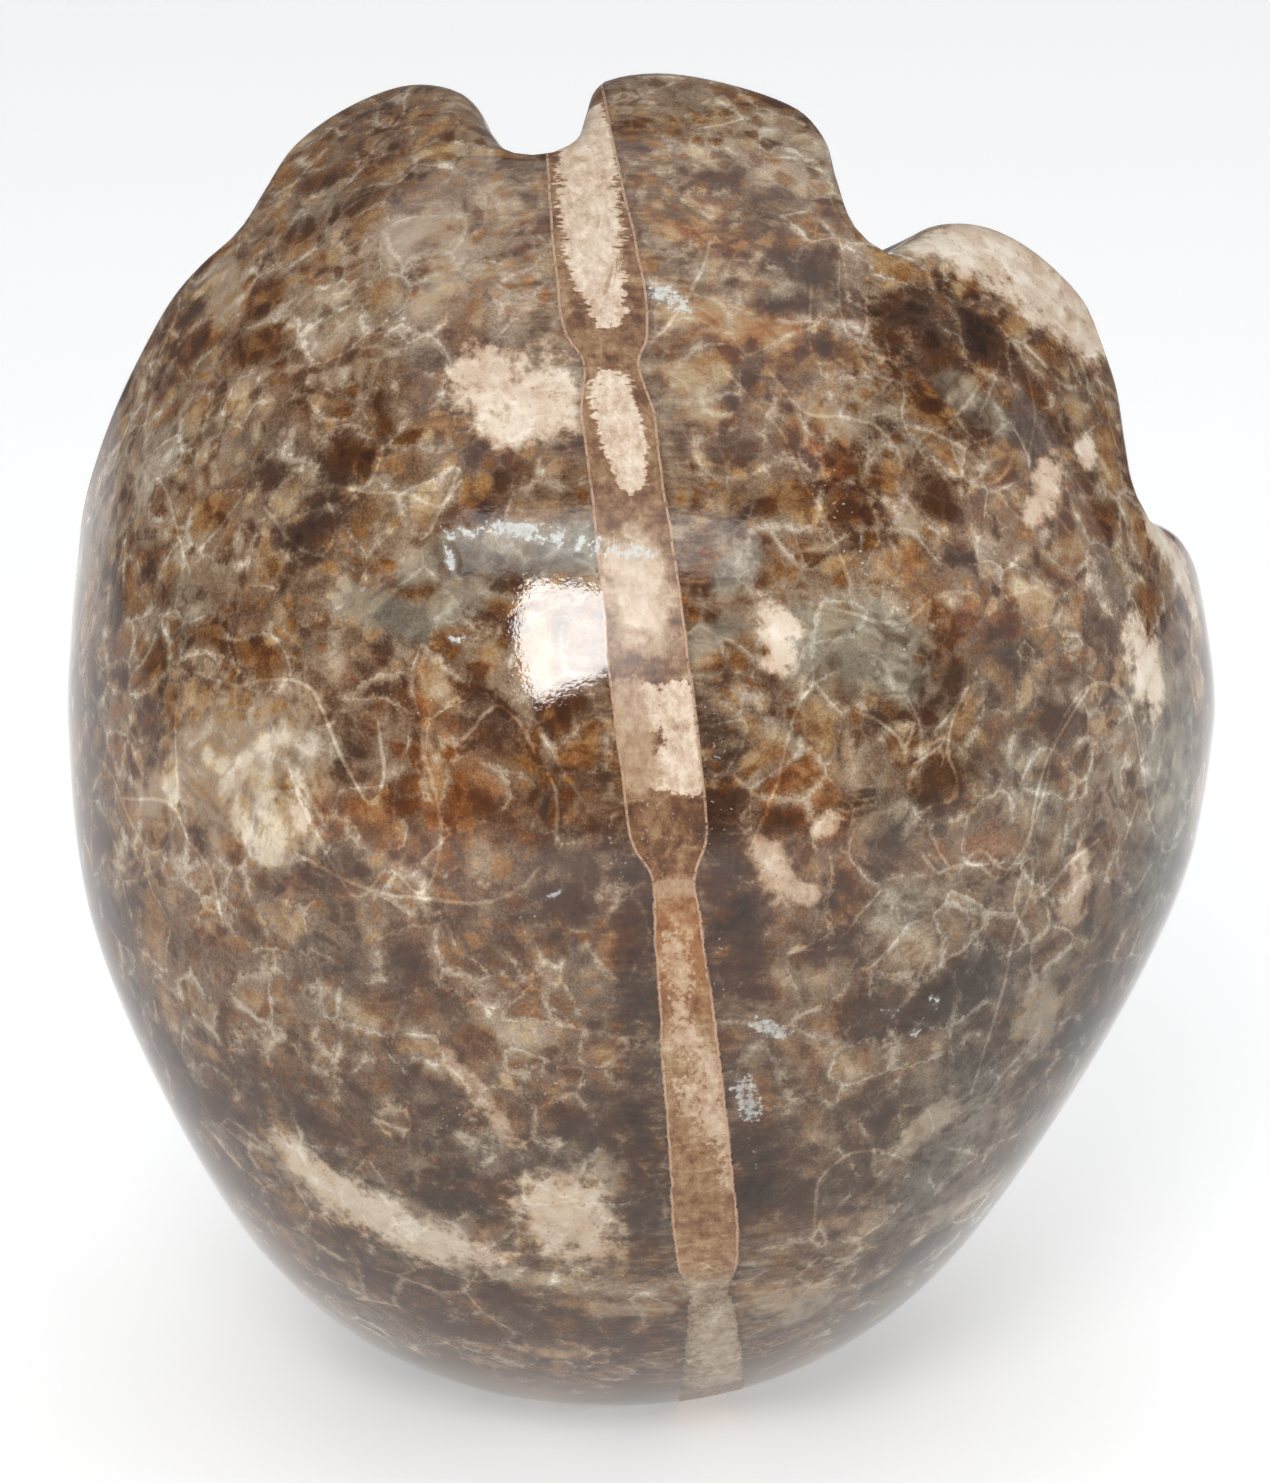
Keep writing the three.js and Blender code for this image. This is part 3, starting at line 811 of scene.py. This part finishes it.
def fields(points):
    """Everything that the material needs to know about a place on the fossil."""
    coil, around, depth = places(points)
    plane = np.array(SIPHUNCLE_PLANE)
    across = (points @ plane - SIPHUNCLE_OFFSET) / np.linalg.norm(plane)
    phase, gap = suture_fields(points, coil, around)
    return {
        "coil": coil,
        "around": around,
        "depth": depth,
        "across": across,
        "along": coil_length(coil),
        "wall": wall_distance(coil, across),
        "suture_phase": phase,
        "suture_gap": gap,
        **patch_fields(points),
        **slow_fields(points),
    }


# --- Relief ---

GROOVE_DEPTH = 0.015  # the siphuncle's softer filling has polished away a little deeper
SWELL_SIZE, SWELL_DEPTH = 9.0, 0.07  # the slow unevenness of a hand polish
PIT_SIZE, PIT_DEPTH = 0.5, 0.12  # the pits at the frosted spots
SHARP_EDGE = 38  # degrees between faces above which an edge stays sharp
FACET_KEEP = 0.8  # mm above the resting facet over which the relief fades in


def noise_at(points, size, seed=0.0):
    shift = Vector((seed, seed * 1.7, seed * 0.3))
    return np.array([noise.noise(Vector(p) / size + shift) for p in points])


def relief(points, place):
    """How far each vertex sinks under the smooth shell, in mm."""
    sink = SKIN_DEPTH + SWELL_DEPTH * (0.5 + 0.5 * noise_at(points, SWELL_SIZE))
    sink += GROOVE_DEPTH * smoothstep(-place["wall"], -0.15, 0.35)
    pits = np.maximum(noise_at(points, PIT_SIZE, 4.0), 0)
    sink += PIT_DEPTH * smoothstep(place["frost"], 0.0, 0.5) * pits
    return sink


def make_fossil():
    fossil = fossil_shape()
    mesh = fossil.data
    points = vertex_points(mesh)
    place = fields(points - COIL_CENTRE)
    normals = np.empty(len(points) * 3)
    mesh.vertices.foreach_get("normal", normals)
    fade = smoothstep(points[:, 2], 0.02, FACET_KEEP)
    sink = relief(points, place) * fade
    moved = points - normals.reshape(-1, 3) * sink[:, None]
    mesh.vertices.foreach_set("co", (moved * METRES).ravel())
    mesh.update()
    for name, values in place.items():
        set_attribute(mesh, name, values)
    mesh.materials.clear()
    mesh.shade_smooth()
    mesh.set_sharp_from_angle(angle=math.radians(SHARP_EDGE))
    return fossil


# --- Material building blocks ---


def operator(operation):
    """A method of Wire that adds a math node."""
    return lambda wire, *others: wire.nodes.math(operation, wire, *others)


class Wire:
    """A node's output that can be used in sums and products."""

    def __init__(self, nodes, socket):
        self.nodes, self.socket = nodes, socket

    __add__ = __radd__ = operator("ADD")
    __mul__ = __rmul__ = operator("MULTIPLY")
    __sub__ = operator("SUBTRACT")
    __abs__ = operator("ABSOLUTE")

    def __rsub__(self, other):
        return self.nodes.math("SUBTRACT", other, self)


class Nodes:
    """Adds nodes to a material and hands back their outputs as wires."""

    def __init__(self, material):
        material.use_nodes = True
        self.tree = material.node_tree
        self.tree.nodes.clear()

    def add(self, kind, sockets=(), output=0, **settings):
        """A new node. sockets gives a wire or a value for each input."""
        node = self.tree.nodes.new(kind)
        for name, value in settings.items():
            setattr(node, name, value)
        for name, value in dict(sockets).items():
            if isinstance(value, Wire):
                self.tree.links.new(value.socket, node.inputs[name])
            else:
                node.inputs[name].default_value = value
        return Wire(self, node.outputs[output]) if len(node.outputs) else None

    def math(self, operation, *values):
        return self.add("ShaderNodeMath", enumerate(values), operation=operation)

    def vector(self, operation, *values):
        return self.add("ShaderNodeVectorMath", enumerate(values), operation=operation)

    def scaled(self, vector, factor):
        sockets = {0: vector, "Scale": factor}
        return self.add("ShaderNodeVectorMath", sockets, operation="SCALE")

    def larger(self, a, b):
        return self.math("MAXIMUM", a, b)

    def xyz(self, *parts):
        return self.add("ShaderNodeCombineXYZ", zip("XYZ", parts))

    def attribute(self, name):
        return self.add("ShaderNodeAttribute", output="Fac", attribute_name=name)

    def step(self, value, low, high):
        """0 on the low side and 1 on the high side, smooth between."""
        sockets = {"Value": value, "From Min": low, "From Max": high}
        return self.add("ShaderNodeMapRange", sockets, interpolation_type="SMOOTHSTEP")

    def noise(self, where, size, detail=3.0, roughness=0.5, output="Fac"):
        sockets = {
            "Vector": where, "Scale": 1 / size, "Detail": detail, "Roughness": roughness,
        }
        return self.add("ShaderNodeTexNoise", sockets, output=output)

    def cells(self, where, size, feature="DISTANCE_TO_EDGE", output=0):
        sockets = {"Vector": where, "Scale": 1 / size}
        return self.add("ShaderNodeTexVoronoi", sockets, output=output, feature=feature)

    def mix(self, a, b, factor):
        """Colours a and b mixed."""
        sockets = {0: factor, 6: a, 7: b}
        return self.add("ShaderNodeMix", sockets, 2, data_type="RGBA", clamp_factor=True)

    def colours(self, value, stops):
        """A colour ramp through (position, colour) stops."""
        node = self.tree.nodes.new("ShaderNodeValToRGB")
        self.tree.links.new(value.socket, node.inputs[0])
        elements = node.color_ramp.elements
        while len(elements) < len(stops):
            elements.new(0.5)
        for element, (position, colour) in zip(elements, stops):
            element.position, element.color = position, colour
        return Wire(self, node.outputs[0])

    def surface(self, sockets):
        """The material's surface, from the inputs of its shader."""
        shader = self.add("ShaderNodeBsdfPrincipled", sockets)
        self.add("ShaderNodeOutputMaterial", {"Surface": shader})


def srgb(code):
    """A six-digit sRGB colour as linear RGBA."""
    channels = [int(code[k : k + 2], 16) / 255 for k in (0, 2, 4)]
    linear = [c / 12.92 if c <= 0.04045 else ((c + 0.055) / 1.055) ** 2.4 for c in channels]
    return (*linear, 1.0)


# --- Polished calcite ---

# Colours from the clear dark cores of the crystals to the cloudy veins between them
STOPS = (0.0, 0.16, 0.32, 0.48, 0.64, 0.8, 1.0)
BROWN_STONE = ("2a190d", "482f1f", "664c38", "836a53", "9d8770", "b7a48f", "e0d1bd")
AMBER_STONE = ("2b170a", "502d13", "754c25", "926b40", "a98a63", "bfa784", "e1d0b5")
RUST_STONE = ("2f180a", "5a3014", "7f4a22", "99663b", "ad865d", "c1a584", "e0cdb5")
CREAM_STONE = ("4a3220", "71543b", "97785b", "b7997d", "cdb39a", "ddcab4", "ede0cf")
GREY_STONE = ("25201a", "3f382f", "5b5347", "766e61", "918979", "aca494", "d5cfc2")
# Of the colours below, the first is chalky frost whose white is partly a painted glare.
# Of the colours below, the last is a painted shade beside the siphuncle's walls.
FROST_AND_GLARE_COLOUR, RIM_COLOUR, PAINTED_SHADE_COLOUR = "d2d4cf", "bf9a7d", "2e1f16"

# Sizes in mm
BIG_CRYSTAL, SMALL_CRYSTAL = 2.4, 0.85
CLOUD_SIZE, GRAIN_SIZE = 2.0, 0.12
RAG_SIZE, COARSE_RAG_SIZE = 0.28, 1.0  # the two noises that make every edge ragged
NUDGE, SWAY = 0.35, 0.25  # how far noise and the slow fields bend the crystals' edges
WAVER_SIZE, WAVER = 0.5, 0.35  # how the sutures and veins wander
FIBRE_SIZE, STREAK_SIZE, COMB_SIZE, SPECK_SIZE = 0.36, 0.6, 0.22, 0.2
POLISH_SIZE, POLISH_DEPTH = 0.25, 0.0045  # what the hand polish left

# How ragged each marking's edge is, and the field's values where it starts and is full
MARKINGS = {
    "dark": (1.0, -0.5, 0.8), "haze_and_sheen": (0.7, -0.3, 0.4), "tan": (1.0, -0.4, 0.6),
    "peach_and_highlight": (1.0, -0.4, 0.7), "pale": (0.6, -0.3, 0.6), "cream": (1.1, -0.35, 0.55),
    "rust": (1.0, -0.4, 0.9), "specks": (1.0, -0.3, 0.5),
}
# Markings that veil the crystals: the share of their contrast that stays, and the base tone
# The haze veil is partly a painted grey sheen round the highlight.
# The peach veil is partly a painted spread of the highlight over the siphuncle's filling.
VEILS = {"haze_and_sheen": (0.7, 0.22), "tan": (0.5, 0.46), "peach_and_highlight": (0.6, 0.42)}


class Stone(Nodes):
    """The nodes of the calcite, with the wires that several of its parts use."""

    def __init__(self, material):
        super().__init__(material)
        self.where = self.scaled(self.add("ShaderNodeTexCoord", output="Object"), 1 / METRES)
        self.rag = self.noise(self.where, RAG_SIZE, 3.0, 0.65) - 0.5
        coarse = self.noise(self.shifted(self.where, 12.0), COARSE_RAG_SIZE, 3.0, 0.6)
        self.coarse_rag = coarse - 0.5
        ragged = self.coarse_rag * 2.2 + self.rag
        self.veil_edge = ragged * 0.5
        self.coil = self.attribute("coil")
        self.low = self.step(self.coil, 26.0, -4.0)  # the calmer, darker lower part
        self.shown = {}
        for name, (share, start, full) in MARKINGS.items():
            self.shown[name] = self.step(self.attribute(name) + ragged * share, start, full)

    def ramp(self, tone, codes):
        return self.colours(tone, [(stop, srgb(code)) for stop, code in zip(STOPS, codes)])

    def shifted(self, where, seed):
        return self.vector("ADD", where, (seed, seed * 0.7, -seed))

    def nudged(self, where, reach):
        """The coordinates pushed about a little by noise, reach in mm."""
        push = self.xyz(self.rag, self.coarse_rag, self.rag - self.coarse_rag)
        return self.vector("ADD", where, self.scaled(push, reach))

    def blend(self, a, b, factor):
        """Numbers a and b mixed."""
        return a + (b - a) * factor

    def crystals(self, where, size):
        """(edge, dark, warm) of a layer of crystals: mm in from the edge of the one that a
        point is in, and two random numbers for each crystal."""
        edge = self.cells(where, size) * size
        tint = self.cells(where, size, "F1", "Color")
        split = self.add("ShaderNodeSeparateColor", {0: tint})
        return edge, split, Wire(self, split.socket.node.outputs[1])


def crystal_tone(n):
    """(tone, warm): brightness of the crystal mosaic, about 0 to 1, and how amber it is."""
    sway = n.xyz(*(n.attribute("sway_" + axis) for axis in "xyz"))
    loose = n.vector("ADD", n.nudged(n.where, NUDGE), n.scaled(sway, SWAY))
    big_edge, big_dark, big_warm = n.crystals(loose, BIG_CRYSTAL)
    small_edge, small_dark, small_warm = n.crystals(n.shifted(loose, 5.0), SMALL_CRYSTAL)
    cloud = n.noise(n.shifted(n.where, 3.0), CLOUD_SIZE, 6.0, 0.7) - 0.5
    region = n.attribute("region") * 0.1
    core = n.step(big_edge + n.rag * 0.6, 0.05, 0.8)
    small_core = n.step(small_edge + n.rag * 0.2, 0.0, 0.2)
    tone = 0.42 + 0.4 * region + 0.9 * cloud
    clear = 1.0 - n.low * 0.45
    tone = tone + (big_dark - 0.55) * (0.04 + core * 0.48) * clear
    tone = tone + (small_dark - 0.5) * (0.1 + small_core * 0.34) * clear
    cloudy = n.step(cloud + (big_warm - 0.5) * 0.2, -0.03, 0.12)
    tone = tone + n.step(big_edge + n.rag * 0.5, 0.28, 0.0) * (cloudy * 0.24 + 0.02)
    fine = n.step(region - cloud, 0.0, 0.12)
    tone = tone + n.step(small_edge + n.rag * 0.35, 0.2, 0.0) * (fine * 0.08 + 0.01)
    grain = n.noise(n.where, GRAIN_SIZE, 2.0, 0.7) - 0.5
    warm = core * big_warm * 0.8 + small_core * small_warm * 0.7
    tone = tone + grain * 0.45
    return (tone - 0.42) * 1.08 + 0.4, warm


def fibre_tone(n):
    """(amount, tone) of the fine fibres that stand square to the siphuncle on both sides."""
    across, along = n.attribute("across"), n.attribute("along")
    side = abs(across)
    spot = n.xyz(across * 0.28, along, side * 0.1)
    amount = n.step(side - n.attribute("region") * 0.4, 5.2, 2.5)
    streak = n.noise(n.nudged(spot, 0.35), FIBRE_SIZE, 2.0, 0.6) - 0.5
    return amount * 0.8, streak * 0.8


def line_amount(n):
    """How much of a suture line or a vein shows."""
    phase = n.attribute("suture_phase")
    off = (phase - n.math("ROUND", phase)) * n.attribute("suture_gap")
    waver = (n.noise(n.where, WAVER_SIZE, 3.0, 0.7) - 0.5) * WAVER
    broken = n.step(n.attribute("suture_region"), -1.0, 0.0)
    shown = n.step(n.attribute("shown"), -0.1, 0.3) * broken
    suture = n.step(abs(off + waver), 0.14, 0.02) * (shown * 0.6 + 0.1)
    side, gap = n.attribute("vein_side"), n.attribute("vein_gap")
    near = n.step(gap, 0.7, 0.4)
    vein = n.step(abs(side + waver * 0.6), 0.14, 0.03) * near
    strong = n.step(n.coil, 32.0, 20.0) * 0.4 - n.step(n.coil, 14.0, 4.0) * 0.3 + 0.3
    return n.larger(suture, vein * (broken * 0.3 + strong))


def stone_tone(n):
    """(tone, warm) of the stone with its markings, before the siphuncle."""
    tone, warm = crystal_tone(n)
    fibres, streaks = fibre_tone(n)
    tone = n.blend(tone, tone * 0.65 + 0.125 + streaks, fibres)
    tone = tone - n.shown["dark"] * 0.28
    for name, (contrast, base) in VEILS.items():
        tone = n.blend(tone, tone * contrast + base, n.shown[name])
    tone = tone + n.shown["pale"] * (n.shown["tan"] * 0.08 + 0.2)
    holes = n.step(n.rag, 0.1, 0.24) * 0.3
    cream = tone * (n.low * 0.3 + 0.6) + 0.5 - holes - n.low * 0.24
    tone = n.blend(tone, cream, n.shown["cream"])
    tone = tone + line_amount(n) * 0.26 - n.low * 0.11 - n.step(n.coil, -24.0, -50.0) * 0.05
    return n.larger(tone, tone * 0.45 + 0.11), warm


def stone_colour(n, tone, warm):
    """The colour at a tone: brown stone, in places amber, rusty, grey or cream."""
    shown = n.shown
    amber = n.step(warm, 0.1, 0.7) * n.step(n.attribute("amber_region"), -2.2, -0.4)
    rust = shown["rust"] * (warm * 0.9 + 0.3)
    rust = rust + n.step(n.coarse_rag + warm * 0.1, 0.06, 0.2) * 0.35
    right = n.step(n.attribute("around"), 0.0, 25.0)
    # Greyer in the lower part, and more so right of the siphuncle.
    grey_low_and_right = n.step(n.coil, 14.0, -20.0) * 0.3 + n.step(n.coil, 42.0, 8.0) * right * 0.36
    grey = n.step(n.attribute("grey_region"), 0.0, 1.8) * 0.3 + shown["haze_and_sheen"] * 0.6 + grey_low_and_right
    kinds = [
        (AMBER_STONE, amber + shown["peach_and_highlight"] * 0.6), (RUST_STONE, rust), (GREY_STONE, grey),
        (CREAM_STONE, shown["cream"] * (1.0 - n.low * 0.6)),
    ]
    colour = n.ramp(tone, BROWN_STONE)
    for codes, amount in kinds:
        colour = n.mix(colour, n.ramp(tone, codes), amount)
    return colour


def tube_filling(n, stone):
    """The colour of the siphuncle's filling. stone is the tone of the crystals there."""
    coil, rag, coarse_rag = n.coil, n.rag, n.coarse_rag
    across, along = n.attribute("across"), n.attribute("along")
    lower = n.step(coil, 11.0, 5.0)
    spot = n.xyz(across, along * 0.6)
    streaky = n.noise(n.nudged(spot, 0.5), STREAK_SIZE, 4.0, 0.75) - 0.5
    comb = n.noise(n.xyz(across * 0.3, along), COMB_SIZE, 2.0, 0.6) - 0.5
    combed = n.step(coil, 30.0, 42.0)
    ragged = coarse_rag * 0.4 + rag * (lower * 2.0 + 1.2) + (comb * 1.3 - rag * 0.7) * combed
    # This veil from the peach patches is, at the highlight's height, a painted spread of the
    # highlight.
    haze_and_sheen = n.step(n.attribute("peach_and_highlight") + coarse_rag * 1.5, -0.1, 0.7)
    cream = n.step(n.attribute("tube_fill") + ragged, 0.0, lower * 0.4 + 0.2)
    tan = n.step(n.attribute("tube_tan") + rag * 1.2, -0.15, 0.4)
    tone = 0.12 + lower * 0.18 + stone * 0.62 + streaky
    tone = n.blend(tone, tone * 0.6 + 0.42, haze_and_sheen * 0.8)
    pale = 0.56 - lower * 0.05 + stone * 0.3 + streaky * (1.4 - lower * 0.4)
    tone = n.blend(tone, pale, cream)
    tone = n.blend(tone, 0.5 + stone * 0.16 + streaky * 0.8, tan * 0.9)
    orange = n.step(coil, -6.0, 4.0) * lower * 0.7 + 0.2
    brown = n.mix(n.ramp(tone, BROWN_STONE), n.ramp(tone, AMBER_STONE), 0.5)
    brown = n.mix(brown, n.ramp(tone, RUST_STONE), orange)
    pale = n.larger(cream * (1.0 - lower * 0.45), haze_and_sheen * 0.7) * (1.0 - tan * 0.5)
    filling = n.mix(brown, n.ramp(tone, CREAM_STONE), n.larger(pale, tan * 0.4))
    return n.mix(filling, n.ramp(tone, GREY_STONE), tube_faded(n) * 0.6)


def tube_faded(n):
    """1 in the lowest chamber of the front, which is greyed and has lost its walls."""
    return n.step(n.coil, -27.0, -32.0) * n.step(n.coil, -66.0, -58.0)


def with_tube(n, colour, tone):
    """(colour, inside): the stone's colour with the siphuncle's filling, its thin walls and a
    painted shade just outside them.
    """
    lower = n.step(n.coil, 11.0, 5.0)
    wall = n.attribute("wall") + n.rag * (lower * 0.3 + 0.05)
    inside = n.step(wall, 0.03, -0.03)
    colour = n.mix(colour, tube_filling(n, tone), inside)
    # Painted shade: a dark band just outside each wall of the siphuncle.
    shade = n.step(wall, 0.45, 0.05) * n.step(wall, -0.15, 0.0)
    colour = n.mix(colour, srgb(PAINTED_SHADE_COLOUR), shade * n.step(n.rag, -0.15, 0.1) * 0.5)
    rim = n.step(abs(wall), 0.085, 0.03) * (1.0 - tube_faded(n))
    return n.mix(colour, srgb(RIM_COLOUR), rim * n.step(n.rag, -0.2, 0.05) * 0.9), inside


def frost_amount(n):
    """How frosted the polish is: chalky spots, a thin veil round them, and fine specks. Their white
    is partly a painted glare.
    """
    field = n.attribute("frost")
    spots = n.step(field + (n.rag * 2.8 + n.coarse_rag * 0.8), 0.1, 0.6)
    veil = n.step(field + n.veil_edge, -0.3, 0.7)
    specks = n.step(n.noise(n.where, SPECK_SIZE, 1.0, 0.5), 0.66, 0.74) * n.shown["specks"]
    return n.larger(n.larger(spots, specks * 0.6), veil * 0.3)


def calcite():
    material = bpy.data.materials.new("polished_calcite")
    n = Stone(material)
    tone, warm = stone_tone(n)
    colour, inside = with_tube(n, stone_colour(n, tone, warm), tone)
    frost = frost_amount(n)
    # The frost is whiter higher up, where its white is partly a painted glare above the highlight.
    bright = n.step(n.coil, 15.0, 30.0) * 0.35 + 0.4
    colour = n.mix(colour, srgb(FROST_AND_GLARE_COLOUR), frost * (bright + n.rag * 1.5))

    septum = n.step(n.attribute("depth"), 0.5, 1.8)
    roughness = 0.05 + septum * 0.2 + inside * 0.25 + n.shown["cream"] * 0.15 + frost * 0.4
    height = n.noise(n.where, POLISH_SIZE, 2.0, 0.6)
    bump = {"Height": height, "Strength": 1.0, "Distance": POLISH_DEPTH * METRES}
    normal = n.add("ShaderNodeBump", bump)
    n.surface({"Base Color": colour, "Roughness": roughness, "IOR": 1.5, "Normal": normal})
    return material


# --- Studio ---

CAMERA_DISTANCE = 330.0  # mm from the coil's centre
CAMERA_ELEVATION = 15.0
CAMERA_SHIFT = (1.186, 2.566)  # mm to the right and up
LENS, SENSOR = 161.8, 36.0
FLOOR_SIZE, FLOOR_SHADE, FLOOR_GLOW = 8, 0.9, 0.4  # metres; the glow keeps it near white
BACKDROP_RADIUS, BACKDROP_GLOW = 4.2, 0.66  # metres
WORLD_COLOUR, WORLD_GLOW = (0.95, 0.97, 1, 1), 0.25
SOFT_LIGHTS = [  # name, azimuth, elevation, metres away, metres wide and high, radiance, colour
    ("band", -4, 44, 0.6, (0.46, 0.1), 2.6, (0.93, 0.97, 1)),
    ("overhead", 0, 88, 1.2, (1.4, 1.4), 0.9, (1, 1, 1)),
    ("side", 85, 12, 1.0, (0.9, 0.9), 0.7, (1, 1, 1)),
]
WINDOW_PLACE, WINDOW_RADIANCE = (-6.4, 29.3, 0.6), 18  # azimuth, elevation, metres away
WINDOW_OUTLINE = [  # metres across and up, seen from behind the camera
    (-0.066, 0.09), (-0.082, 0.056), (-0.088, 0.023), (-0.078, -0.023), (-0.066, -0.068),
    (-0.045, -0.104), (0.087, -0.046), (0.086, 0.02), (0.084, 0.075),
]


def direction(azimuth, elevation):
    """Unit vector from the fossil. Azimuth 0 is the front, positive to the right."""
    a, e = math.radians(azimuth), math.radians(elevation)
    return Vector((math.sin(a) * math.cos(e), -math.cos(a) * math.cos(e), math.sin(e)))


def make_camera():
    data = bpy.data.cameras.new("camera")
    data.lens, data.sensor_height, data.sensor_fit = LENS, SENSOR, "VERTICAL"
    camera = added("camera", data)
    tilt = math.radians(CAMERA_ELEVATION)
    up = Vector((0, math.sin(tilt), math.cos(tilt)))
    place = Vector(COIL_CENTRE) + direction(0, CAMERA_ELEVATION) * CAMERA_DISTANCE
    place += Vector((1, 0, 0)) * CAMERA_SHIFT[0] + up * CAMERA_SHIFT[1]
    camera.location = place * METRES
    camera.rotation_euler = (math.radians(90 - CAMERA_ELEVATION), 0, 0)
    bpy.context.scene.camera = camera


def soft_light(name, azimuth, elevation, distance, size, radiance, colour):
    """A rectangular light that faces the fossil. radiance is how bright it looks."""
    data = bpy.data.lights.new(name, "AREA")
    data.shape, data.size, data.size_y = "RECTANGLE", *size
    data.energy = radiance * math.pi * size[0] * size[1]
    data.color = colour
    hang(added(name, data), azimuth, elevation, distance)


def hang(light, azimuth, elevation, distance):
    """Puts a light round the fossil, in metres from its middle, and turns it to face it."""
    middle = Vector(COIL_CENTRE) * METRES
    light.location = middle + direction(azimuth, elevation) * distance
    light.rotation_euler = direction(azimuth, elevation).to_track_quat("Z", "Y").to_euler()


def plain_material(name, shade, glow):
    """A matt grey material that also glows."""
    material = bpy.data.materials.new(name)
    Nodes(material).surface({
        "Base Color": (shade, shade, shade, 1), "Roughness": 0.9,
        "Specular IOR Level": 0.0, "Emission Color": (1, 1, 1, 1), "Emission Strength": glow,
    })
    return material


def make_window():
    """The window that shows as one bright patch on the polish."""
    corners = [(x, y, 0) for x, y in WINDOW_OUTLINE]
    window = new_object("window", corners, [range(len(corners))])
    window.data.materials.append(plain_material("window_light", 0.0, WINDOW_RADIANCE))
    hang(window, *WINDOW_PLACE)
    window.visible_camera = False


def make_floor():
    bpy.ops.mesh.primitive_plane_add(size=FLOOR_SIZE)
    floor = bpy.context.object
    floor.name = "floor"
    floor.data.materials.append(plain_material("pale_floor", FLOOR_SHADE, FLOOR_GLOW))


def make_backdrop():
    """A pale room a long way off, which only the camera sees."""
    bpy.ops.mesh.primitive_uv_sphere_add(radius=BACKDROP_RADIUS)
    backdrop = bpy.context.object
    backdrop.name = "backdrop"
    backdrop.data.materials.append(plain_material("pale_backdrop", 0.0, BACKDROP_GLOW))
    backdrop.visible_diffuse = backdrop.visible_glossy = backdrop.visible_shadow = False


def make_world():
    world = bpy.data.worlds.new("studio")
    bpy.context.scene.world = world
    world.use_nodes = True
    background = world.node_tree.nodes["Background"]
    background.inputs["Color"].default_value = WORLD_COLOUR
    background.inputs["Strength"].default_value = WORLD_GLOW


def make_studio():
    make_camera()
    make_floor()
    make_backdrop()
    make_world()
    make_window()
    for light in SOFT_LIGHTS:
        soft_light(*light)
    bpy.context.scene.view_settings.view_transform = "Standard"


make_studio()
fossil = make_fossil()
fossil.data.materials.append(calcite())
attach(fossil, "root")
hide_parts("ammonite")
